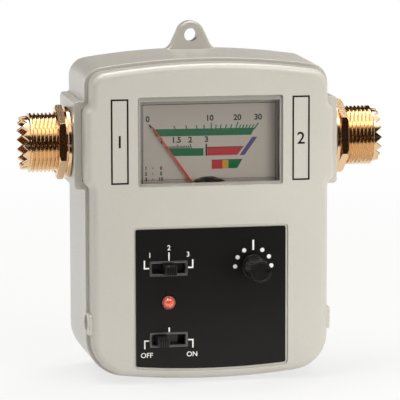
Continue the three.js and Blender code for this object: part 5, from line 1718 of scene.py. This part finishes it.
@dataclass
class Socket:
    """One coaxial socket: toothed and threaded barrel, insulator, contact, washer and nut.

    Its lengths run out from the lobe's face, along the depth axis until it is turned to its side.
    """

    hand: Hand
    depth: float = FORM.socket_depth
    height: float = FORM.socket_height
    lobe: float = FORM.back_lobe.reach
    thread_radius: float = 7.94
    pitch: float = 1.058
    cut: float = 0.62
    thread_start: float = 2.6
    thread_end: float = 10.9
    nose_radius: float = 7.1
    nose_start: float = 11.35
    length: float = 13.13
    chamfer: float = 0.3
    bore: float = 6.2
    rear_bore: float = 5.2
    shoulder: float = 3.9
    flange_radius: float = 9.0
    flange_back: float = -4.0
    flange_front: float = -2.3
    teeth: int = 16
    tooth_depth: float = 1.5
    tooth_share: float = 0.94
    insulator_face: float = 5.6
    insulator_back: float = -4.6
    contact_radius: float = 2.6
    contact_bore: float = 2.05
    contact_depth: float = 6.0
    contact_tail: float = 8.3
    contact_slot: float = 3.2
    contact_slot_half: float = 0.22
    tail_radius: float = 1.7
    washer_radius: float = 9.45
    washer_back: float = 0.3
    washer_front: float = 1.3
    nut_back: float = 1.6
    nut_front: float = 3.7
    nut_corner: float = 9.9
    nut_crown: float = 9.2
    nut_chamfer: float = 0.45
    nut_edge: float = 0.1
    nut_turn: float = -6.0

    def stand(
        self,
        mesh: bpy.types.Mesh,
        what: str,
        way: str = "turned",
        finish: Finish = GOLD_PLATE,
        slot: str = "gold_plate",
        **edges: float,
    ) -> None:
        """Turns a mesh from the depth axis to this side, puts it on the lobe's face and dresses it.

        Args:
            mesh: The piece's mesh, which is changed.
            what: The word for it in the frame.
            way: The word for how it is made.
            finish: What it is made of.
            slot: The record's material slot.
            edges: Its bevel and sharp, as place() takes them.
        """
        turned_about(mesh, -90 * self.hand.value, "Z")
        moved(mesh, x=self.lobe * self.hand.value, y=self.depth, z=self.height)
        node = f"{self.hand.name.lower()}_socket_{what}"
        place(f"{node}_{way}", mesh, finish, Body.CASE, slot, (node,), **edges)

    def barrel(self) -> None:
        """The barrel, with a helical thread and a ring of teeth.

        In the thread the radius is the crest's less the cut times how far a point is from its
        crest, where crest and angle advance together: place over pitch less angle over a whole
        turn. At the nose the end's place is the length less the tooth's depth in each notch.
        """
        columns = 12 * self.teeth
        angle = np.arange(columns) * (2 * math.pi / columns)
        turn = angle / (2 * math.pi)
        place_along = np.arange(self.thread_start, self.thread_end, self.pitch / 12)[:, None]
        away = np.abs(2 * ((place_along / self.pitch - turn) % 1) - 1)
        share = np.clip((away - 0.1) / 0.8, 0, 1)
        ends = np.minimum(place_along - self.thread_start, self.thread_end - place_along)
        faded = np.clip(ends / (0.6 * self.pitch), 0, 1)
        thread = self.thread_radius - self.cut * share * faded
        notch = np.clip(1 - np.abs(2 * ((self.teeth * turn) % 1) - 1) / self.tooth_share, 0, 1)
        end = self.length - self.tooth_depth * notch

        def ring(radius: float, where: float | Array) -> Array:
            """One ring of radius and place for every column."""
            return np.stack([np.full(columns, radius), np.broadcast_to(where, columns)])

        back, front = self.flange_back, self.flange_front
        outer = self.nose_start + (end - self.chamfer - self.nose_start) * np.linspace(0, 1, 5)[:, None]
        rings = [ring(self.rear_bore, back), ring(self.flange_radius, back), ring(self.flange_radius, front)]
        rings += [ring(self.thread_radius, front), ring(self.thread_radius, self.thread_start - 0.1)]
        rings += [np.stack([thread[i], np.broadcast_to(place_along[i], columns)]) for i in range(len(thread))]
        rings += [ring(self.nose_radius, self.thread_end + 0.25)]
        rings += [ring(self.nose_radius, row) for row in outer]
        rings += [ring(self.nose_radius - self.chamfer, end), ring(self.bore + 0.15, end)]
        rings += [ring(self.bore, end - 0.15), ring(self.bore, self.length - self.tooth_depth - 0.4)]
        rings += [ring(self.bore, self.shoulder), ring(self.rear_bore, self.shoulder)]
        radius, along = np.stack(rings).transpose(1, 0, 2)
        points = np.stack([radius * np.cos(angle), along, radius * np.sin(angle)], axis=-1)
        self.stand(skin(points, True), "barrel", sharp=40)

    def nut(self) -> None:
        """The hexagon nut, its corners turned off by a cone.

        A flat's radius is the flat's own distance over the cosine of the angle from its middle. The
        cone meets it where the cone's radius, which falls steadily to the crown's, is the same.
        """
        columns = 24 * 6
        angle = np.arange(columns) * (2 * math.pi / columns)
        flat = self.nut_corner * math.cos(math.pi / 6)
        hexagon = flat / np.cos((angle % (math.pi / 3)) - math.pi / 6)
        slope = self.nut_chamfer / (self.nut_corner - self.nut_crown)
        crown = np.minimum(self.nut_crown, hexagon - self.nut_edge)
        front = self.nut_front - (hexagon - crown) * slope
        back = self.nut_back + (hexagon - flat) * slope * 0.25
        inner = self.thread_radius + 0.04
        turned_by = angle + QUARTER - self.hand.value * math.radians(self.nut_turn)
        rows = [(inner, self.nut_back), (flat - 0.2, self.nut_back), (hexagon, back), (hexagon, front)]
        rows += [(crown, self.nut_front), (inner + 0.2, self.nut_front), (inner, self.nut_front - 0.2)]
        radius = np.stack([np.broadcast_to(r, columns) for r, _ in rows])
        along = np.stack([np.broadcast_to(y, columns) for _, y in rows])
        points = np.stack([radius * np.cos(turned_by), along, radius * np.sin(turned_by)], axis=-1)
        self.stand(skin(points, True), "nut", bevel=0.05)

    def washer(self) -> None:
        """The washer, with its outer edges just broken."""
        back, front, outer = self.washer_back, self.washer_front, self.washer_radius
        inner = self.thread_radius + 0.06
        rows = [[inner, back], [outer - 0.12, back], [outer, back + 0.12], [outer, front - 0.12]]
        rows += [[outer - 0.12, front], [inner, front]]
        self.stand(turned(np.array(rows), SIDES, True), "washer")

    def insulator(self) -> None:
        """The insulator: a stepped bush with a shallow moulded ring in its face."""
        inner, rear = self.contact_radius + 0.06, self.rear_bore - 0.05
        outer, face = self.bore - 0.05, self.insulator_face
        rows = [[inner, self.insulator_back], [rear, self.insulator_back], [rear, self.shoulder + 0.3]]
        rows += [[outer, self.shoulder + 0.3], [outer, face - 0.25], [outer - 0.25, face], [4.9, face]]
        rows += [[4.7, face - 0.35], [3.9, face - 0.35], [3.7, face], [inner, face]]
        bush = turned(np.array(rows), SIDES, True)
        self.stand(bush, "insulator", "moulded", INSULATOR, "insulator")

    def contact(self) -> None:
        """The centre contact: a tube split in four by two narrow slots, with a solid tail."""
        face, radius, bore = self.insulator_face, self.contact_radius, self.contact_bore
        end, back, floor = -self.contact_tail, self.insulator_back, face - self.contact_depth
        rows = [[0, end], [self.tail_radius, end], [self.tail_radius, back], [radius, back]]
        rows += [[radius, face - 0.15], [radius - 0.12, face], [bore + 0.15, face]]
        rows += [[bore, face - 0.2], [bore, floor], [0, floor]]
        tube = turned(np.array(rows), 64)
        reach, half = radius + OVERRUN, self.contact_slot_half
        slots = [
            turned_about(
                block((-reach, face - self.contact_slot, -half), (reach, face + OVERRUN, half)), turn, "Y"
            )
            for turn in (45, 135)
        ]
        self.stand(carve(tube, slots), "contact")

    def build(self) -> None:
        """Makes the whole socket."""
        self.barrel()
        self.nut()
        self.washer()
        self.insulator()
        self.contact()


@dataclass
class Meter:
    """The panel meter: clear cover, printed dial, needle and the movement behind them."""

    plan: PanelPlan = PLAN
    low: float = 37.0
    high: float = 77.3
    half_width: float = 20.5
    flange_front: float = 2.3
    flange_back: float = 2.9
    pane_front: float = 0.2
    pane_back: float = 1.6
    pane_wall: float = 0.75
    pane_round: float = 0.14
    clearance: float = 0.14
    dial_face: float = 4.2
    dial_back: float = 4.7
    dial_low: float = 50.0
    dial_high: float = 75.8
    dial_half_width: float = 19.0
    cut_radius: float = 7.9
    pivot: float = 46.7
    ink: float = 0.012
    needle_front: float = 3.25
    needle_thickness: float = 0.35
    needle_length: float = 26.3
    needle_root: float = 0.62
    needle_tip: float = 0.36
    hub_radius: float = 1.9
    tail_length: float = 4.6
    tail_width: float = 1.6
    rest_degrees: float = -35.2

    def cover(self) -> None:
        """The clear cover: a pane with rounded edges on the window's ledge, a neck and a flange."""
        plan, gap = self.plan, self.clearance
        rim, seat = plan.window_seat - gap, plan.seat_depth - gap / 2
        rows = [(plan.window(rim - i), self.pane_front + t) for i, t in edge_round(self.pane_round, 6)]
        rows += [(plan.window(rim), seat)]
        rows += [(plan.opening(-gap), y) for y in (seat, self.flange_front + 0.2)]
        hat = through(rows)
        middle, half = (self.low + self.high) / 2, (self.high - self.low) / 2
        base = rounded_rectangle(self.half_width, half, 0.6) + [0, middle]
        flange = prism(base, self.flange_front, self.flange_back)
        room = prism(plan.opening(-gap - self.pane_wall), self.pane_back, self.flange_back + OVERRUN)
        made = carve(flange, [room], [hat])
        place("meter_window_pane", made, CLEAR_ACRYLIC, Body.CASE, "clear_acrylic", ("meter_window",))

    def dial(self) -> None:
        """The dial plate with its round cut-out for the movement."""
        middle, half = (self.dial_low + self.dial_high) / 2, (self.dial_high - self.dial_low) / 2
        outline = rounded_rectangle(self.dial_half_width, half, 0.4) + [0, middle]
        sheet = prism(outline, self.dial_face, self.dial_back)
        hole = rod(self.cut_radius, self.dial_face - OVERRUN, self.dial_back + OVERRUN, SIDES)
        made = carve(sheet, [moved(hole, z=self.pivot)])
        place("meter_dial_plate", made, DIAL_ENAMEL, Body.CASE, "dial_paint", ("meter_dial",), bevel=0.05)

    @property
    def inked(self) -> tuple[float, float]:
        """The depths of the front and back of the ink on the dial."""
        return self.dial_face - self.ink, self.dial_face + self.ink

    def patch(self, *corners: tuple) -> bpy.types.Mesh:
        """A printed patch with straight edges, on the dial."""
        return prism(np.array(corners, float), *self.inked)

    def stroke(self, start: tuple, end: tuple, width: float) -> bpy.types.Mesh:
        """A printed stroke on the dial."""
        return band(np.array([start, end], float), width, *self.inked)

    def numeral(self, words: str, x: float, z: float, height: float) -> bpy.types.Mesh:
        """A printed numeral on the dial."""
        return lettering(words, x, z, height, *self.inked, 0.03)

    def green_print(self) -> list:
        """The long green scale with its ticks, the short green bar and the strip's green end."""
        parts = [
            self.patch((-13.9, 65.45), (11.45, 65.35), (12.5, 67.2), (-15.0, 67.4)),
            self.patch((-9.7, 60.2), (-1.3, 60.1), (-1.3, 62.1), (-10.9, 62.2)),
            self.patch((5.4, 56.55), (7.75, 56.6), (9.1, 58.85), (5.4, 58.85)),
            self.stroke((12.25, 66.8), (13.45, 68.5), 0.34),
        ]
        for rise, places in (
            (1.15, (-8.75, -5.7, -3.0, -1.1, 2.0, 3.25, 4.6, 5.95)),
            (1.75, (0.78, 7.35)),
            (1.0, (8.3, 9.15, 10.0, 10.85, 11.7)),
        ):
            parts += [self.tick(x, 67.1, rise, 0.3) for x in places]
        return parts

    def tick(self, x: float, foot: float, rise: float, width: float) -> bpy.types.Mesh:
        """A printed tick that leans away from the pivot, from its foot up."""
        lean = x / (foot - self.pivot)
        return self.stroke((x, foot), (x + lean * rise, foot + rise), width)

    def prints(self) -> None:
        """Lays the five inks on the dial, each as one skin."""
        red = [
            self.patch((-0.3, 60.1), (7.8, 60.1), (9.4, 62.25), (-0.3, 62.25)),
            self.patch((0.9, 56.5), (3.8, 56.5), (3.8, 58.85), (0.9, 58.85)),
        ]
        yellow = [self.patch((3.8, 56.5), (5.4, 56.55), (5.4, 58.85), (3.8, 58.85))]
        blue = [self.patch((8.4, 60.0), (9.7, 60.0), (13.2, 64.8), (11.75, 64.75))]
        for colour, ink, parts in (
            ("green", GREEN_INK, self.green_print()),
            ("red", RED_INK, red),
            ("yellow", YELLOW_INK, yellow),
            ("blue", BLUE_INK, blue),
            ("black", BLACK_INK, self.black_print()),
        ):
            place(f"dial_{colour}_print", merged(parts), ink, Body.CASE, "dial_paint", smooth=False)

    def black_print(self) -> list:
        """The figures, the fine ticks, the red bar's edges and the little table."""
        marks = [("0", -16.2, 70.1), ("10", 0.55, 70.1), ("20", 7.8, 70.1), ("30", 13.4, 70.1)]
        parts = [self.numeral(words, x, z, 1.6) for words, x, z in marks]
        marks = [("1", -12.5, 64.35), ("1.5", -8.4, 64.45), ("2", -4.85, 64.45), ("3", -0.5, 64.45)]
        parts += [self.numeral(words, x, z, 1.6) for words, x, z in marks]
        for number in range(13):
            rise = 1.15 if number in (6, 12) else 0.8
            parts.append(self.tick(-10.95 + number * 0.535, 61.95 + number * 0.012, rise, 0.26))
        parts += [
            self.stroke((-0.55, 60.05), (-0.55, 63.2), 0.4),
            self.stroke((-0.5, 62.3), (9.5, 62.3), 0.16),
            self.stroke((0.85, 58.9), (9.2, 58.9), 0.12),
            self.stroke((-15.75, 68.6), (-15.2, 67.75), 0.42),
        ]
        border = np.array([[-17.75, 51.2], [18.05, 51.2], [18.05, 73.9], [-17.75, 73.9]])
        parts.append(band(border, 0.2, *self.inked, True))
        left, right = -14.98, -14.72
        for number, (ratio, share) in enumerate([("1", "0"), ("2", "5"), ("3", "10")]):
            z = 57.1 - number * 1.45
            low, high = z - 0.13, z + 0.13
            parts += [
                self.numeral(ratio, -16.7, z, 0.95),
                self.numeral(share, -12.65, z, 0.95),
                self.patch((left, low), (right, low), (right, high), (left, high)),
            ]
        return parts

    def needle(self) -> None:
        """The needle, its hub and tail, drawn upright and turned to its rest about the pivot."""
        front, back = self.needle_front, self.needle_front + self.needle_thickness
        root, tip = self.needle_root / 2, self.needle_tip / 2
        length, half = self.needle_length, self.tail_length / 2
        shoulder = length - 0.3
        outline = np.array([[-root, 0], [root, 0], [tip, shoulder], [0, length], [-tip, shoulder]])
        arrow = prism(outline, front, back)
        tail = prism(rounded_rectangle(self.tail_width / 2, half, 0.5) + [0, -half], front, back)
        hub = rod(self.hub_radius, front, back, 48)
        hole = rod(0.65, front - OVERRUN, back + OVERRUN, 24)
        made = turned_about(carve(arrow, [hole], [tail, hub]), self.rest_degrees, "Y")
        moved(made, z=self.pivot)
        stood_for = ("meter_needle",)
        place("meter_needle_blade", made, NEEDLE_ENAMEL, Body.NEEDLE, "needle_paint", stood_for, bevel=0.06)

    def build(self) -> None:
        """Makes the meter's visible parts and dresses the movement."""
        self.cover()
        self.dial()
        self.prints()
        self.needle()
        dress(METER_STYRENE, "meter_case")
        dress(NICKEL_STEEL, "meter_screw_left", "meter_screw_right", "meter_yoke", "meter_core")
        dress(TURNED_BRASS, "meter_terminal_left", "meter_terminal_right")
        dress(TURNED_BRASS, "meter_hairspring", "meter_bridge")
        dress(COPPER_WIRE, "meter_coil")


@dataclass
class Inside:
    """What the case holds behind the panel, as the frame already has it, with its finishes."""

    def build(self) -> None:
        """Dresses the boards, the battery with its leads, and the line between the sockets."""
        dress(LAMINATE, "main_board", "coupler_board")
        dress(NICKEL_STEEL, "board_screw_left", "board_screw_right", "filter_capacitor")
        dress(EPOXY_BLACK, "control_chip")
        dress(BATTERY_JACKET, "battery")
        dress(BLACK_VINYL, "battery_snap", "battery_lead_black")
        dress(RED_VINYL, "battery_lead_red")
        dress(TURNED_BRASS, "through_line")


@dataclass
class Studio:
    """The photograph's viewpoint, a pale floor, soft lamps, and dark cards that only gloss sees."""

    turn_degrees: float = 10.38
    drop_degrees: float = 8.106
    roll_degrees: float = -0.117
    distance: float = 810.8
    lens: float = 277.6
    sensor: float = 36.0
    aim: tuple = (-2.941, 0.0, 48.854)
    lamp_tint: str = "FFFDF9"
    fill: float = 0.25
    card_tone: str = "2A1A10"
    card_half_width: float = 1.6
    card_front: float = -0.75
    card_near: float = -0.105
    card_top: float = 0.66
    back_card_low: float = 0.17
    glow_place: tuple = (-0.08, -0.74, 0.0)
    glow_reach: float = 0.42
    glow_strength: float = 1.2

    def camera(self) -> None:
        """The camera: it looks back, a little to the right and down, from its distance to its aim."""
        angles = (self.turn_degrees, self.drop_degrees, self.roll_degrees)
        turn, drop, roll = (math.radians(angle) for angle in angles)
        ahead = Vector((math.sin(turn) * math.cos(drop), math.cos(turn) * math.cos(drop), -math.sin(drop)))
        right = Vector((math.cos(turn), -math.sin(turn), 0))
        up = right.cross(ahead)
        right, up = right * math.cos(roll) + up * math.sin(roll), up * math.cos(roll) - right * math.sin(roll)
        data = bpy.data.cameras.new("photograph_view")
        data.lens = self.lens
        data.sensor_width = self.sensor
        data.clip_end = 50
        camera = linked("photograph_view", data)
        axes = Matrix((right, up, -ahead)).transposed().to_4x4()
        eye = TO_FRAME @ (Vector(self.aim) - ahead * self.distance)
        camera.matrix_world = Matrix.Translation(eye) @ axes
        bpy.context.scene.camera = camera

    def softbox(self, name: str, where: tuple, size: tuple, power: float, mirrored: bool = False) -> None:
        """A rectangular lamp that faces the object's middle.

        Args:
            name: The lamp's name.
            where: Its place in metres.
            size: Its width and height in metres.
            power: Its power in watts.
            mirrored: Whether gloss and polished metal show it.
        """
        data = bpy.data.lights.new(name, "AREA")
        data.shape = "RECTANGLE"
        data.size, data.size_y = size
        data.energy = power
        data.color = linear(self.lamp_tint)[:3]
        lamp = linked(name, data)
        lamp.visible_camera = False
        lamp.visible_transmission = False
        lamp.visible_glossy = mirrored
        aim = Vector((0, 0, 0.045)) - Vector(where)
        lamp.matrix_world = Matrix.Translation(where) @ aim.to_track_quat("-Z", "Y").to_matrix().to_4x4()

    def seen_or_mirrored(self, tree: bpy.types.NodeTree) -> bpy.types.Node:
        """A node that gives one to camera, glossy and transmission rays and zero to all others."""
        path = add_node(tree, "ShaderNodeLightPath")
        either = add_node(
            tree,
            "ShaderNodeMath",
            {"operation": "MAXIMUM"},
            links={0: (path, "Is Camera Ray"), 1: (path, "Is Glossy Ray")},
        )
        return add_node(
            tree,
            "ShaderNodeMath",
            {"operation": "MAXIMUM"},
            links={0: (either, 0), 1: (path, "Is Transmission Ray")},
        )

    def near_far(
        self, tree: bpy.types.NodeTree, centre: tuple, reach: float, near: float, far: float
    ) -> bpy.types.Node:
        """A node that runs smoothly from one value at a place to another at a distance from it.

        Args:
            tree: The node tree.
            centre: The place in metres.
            reach: The distance in metres at which the second value is met.
            near: The value at the place.
            far: The value past the distance.

        Returns:
            The node, its value in the output Result.
        """
        place = add_node(tree, "ShaderNodeTexCoord")
        away = add_node(
            tree,
            "ShaderNodeVectorMath",
            {"operation": "DISTANCE"},
            values={1: centre},
            links={0: (place, "Object")},
        )
        return add_node(
            tree,
            "ShaderNodeMapRange",
            {"interpolation_type": "SMOOTHSTEP"},
            values={"From Max": reach, "To Min": near, "To Max": far},
            links={"Value": (away, "Value")},
        )

    def world(self) -> None:
        """A pale world: soft fill for matt surfaces, plain white where it is seen or mirrored."""
        world = bpy.data.worlds.new("pale_room")
        bpy.context.scene.world = world
        world.use_nodes = True
        tree = world.node_tree
        tree.nodes.clear()
        seen = self.seen_or_mirrored(tree)
        fill = add_node(
            tree, "ShaderNodeBackground", values={"Color": linear("F4F6FA"), "Strength": self.fill}
        )
        white = add_node(tree, "ShaderNodeBackground", values={"Color": (1, 1, 1, 1), "Strength": 1.0})
        both = add_node(tree, "ShaderNodeMixShader", links={0: (seen, 0), 1: (fill, 0), 2: (white, 0)})
        add_node(tree, "ShaderNodeOutputWorld", links={"Surface": (both, 0)})

    def sheet(self, name: str, corners: list) -> tuple[bpy.types.Object, bpy.types.NodeTree]:
        """A flat stage piece with an empty material.

        Args:
            name: Its name.
            corners: Its four corners in metres.

        Returns:
            The object and its material's node tree.
        """
        mesh = bpy.data.meshes.new(name)
        mesh.from_pydata(corners, [], [(0, 1, 2, 3)])
        made = bpy.data.materials.new(f"{name}_surface")
        made.use_nodes = True
        made.node_tree.nodes.clear()
        mesh.materials.append(made)
        piece = linked(name, mesh)
        return piece, made.node_tree

    def floor(self) -> None:
        """A wide pale floor at the foot, white where it is seen, that keeps a soft shadow."""
        half = 6.0
        corners = [(-half, -half, 0), (half, -half, 0), (half, half, 0), (-half, half, 0)]
        _, tree = self.sheet("studio_floor", corners)
        seen = self.seen_or_mirrored(tree)
        share = self.near_far(tree, (0, 0, 0), 0.5, 0.72, 1.0)
        matt = add_node(tree, "ShaderNodeBsdfDiffuse", values={"Color": linear("EDEDEB")})
        bright = add_node(tree, "ShaderNodeEmission", values={"Color": (1, 1, 1, 1), "Strength": 1.0})
        shown = add_node(
            tree, "ShaderNodeMixShader", links={0: (share, "Result"), 1: (matt, 0), 2: (bright, 0)}
        )
        both = add_node(tree, "ShaderNodeMixShader", links={0: (seen, 0), 1: (matt, 0), 2: (shown, 0)})
        add_node(tree, "ShaderNodeOutputMaterial", links={"Surface": (both, 0)})

    def card(self, name: str, corners: list, glow: tuple | None = None) -> None:
        """A dark card that only mirrored rays meet, to draw the dark band along polished metal.

        Args:
            name: The card's name.
            corners: Its four corners in metres.
            glow: The place of a bright patch on it, in metres, or nothing.
        """
        piece, tree = self.sheet(name, corners)
        dark = add_node(tree, "ShaderNodeEmission", values={"Color": linear(self.card_tone)})
        shown = dark
        if glow:
            share = self.near_far(tree, glow, self.glow_reach, 1.0, 0.0)
            light = add_node(
                tree, "ShaderNodeEmission", values={"Color": (1, 1, 1, 1), "Strength": self.glow_strength}
            )
            shown = add_node(
                tree, "ShaderNodeMixShader", links={0: (share, "Result"), 1: (dark, 0), 2: (light, 0)}
            )
        add_node(tree, "ShaderNodeOutputMaterial", links={"Surface": (shown, 0)})
        piece.visible_camera = False
        piece.visible_diffuse = False
        piece.visible_shadow = False
        piece.visible_volume_scatter = False

    def build(self) -> None:
        """Sets up the view, the lamps, the world, the floor and the cards."""
        bpy.context.scene.view_settings.view_transform = "Standard"
        self.camera()
        for lamp in (
            ("overhead_softbox", (0.0, -0.38, 0.85), (1.6, 1.2), 1.5, True),
            ("overhead_strip", (-0.05, 0.05, 0.82), (1.0, 0.3), 4.4, True),
            ("high_right_softbox", (0.287, -0.39, 0.667), (0.25, 0.25), 0.6, True),
            ("rear_left_softbox", (-0.45, 0.2, 0.6), (0.4, 0.4), 0.5),
            ("right_front_softbox", (0.45, -0.65, 0.22), (0.35, 0.35), 1.75),
            ("front_low_softbox", (0.1, -0.17, 0.01), (0.12, 0.05), 0.15),
            ("left_low_softbox", (-0.2, -0.02, 0.01), (0.12, 0.05), 0.035),
        ):
            self.softbox(*lamp)
        self.world()
        self.floor()
        half, front, near, top = self.card_half_width, self.card_front, self.card_near, self.card_top
        upright = [(-half, front, 0.0), (half, front, 0.0), (half, front, top), (-half, front, top)]
        self.card("upright_dark_card", upright)
        lying = [(-half, front, 0.001), (half, front, 0.001), (half, near, 0.001), (-half, near, 0.001)]
        self.card("floor_dark_card", lying, self.glow_place)
        back, low, high = -front, self.back_card_low, 2 * top
        behind = [(-half, back, low), (half, back, low), (half, back, high), (-half, back, high)]
        self.card("rear_dark_card", behind)


def main() -> None:
    """Builds the studio and then the tester, sub-assembly by sub-assembly."""
    parts = [
        Studio(),
        Case(),
        FrontPrint(),
        SlideSwitch("range_switch", Body.RANGE, PLAN.range_height, 0.0),
        SlideSwitch("power_switch", Body.POWER, PLAN.power_height, -2.0),
        StatusLamp(),
        SetKnob(),
        Socket(Hand.LEFT),
        Socket(Hand.RIGHT),
        Meter(),
        Inside(),
    ]
    for part in parts:
        log.info("building %s", type(part).__name__)
        part.build()


if __name__ == "__main__":
    main()
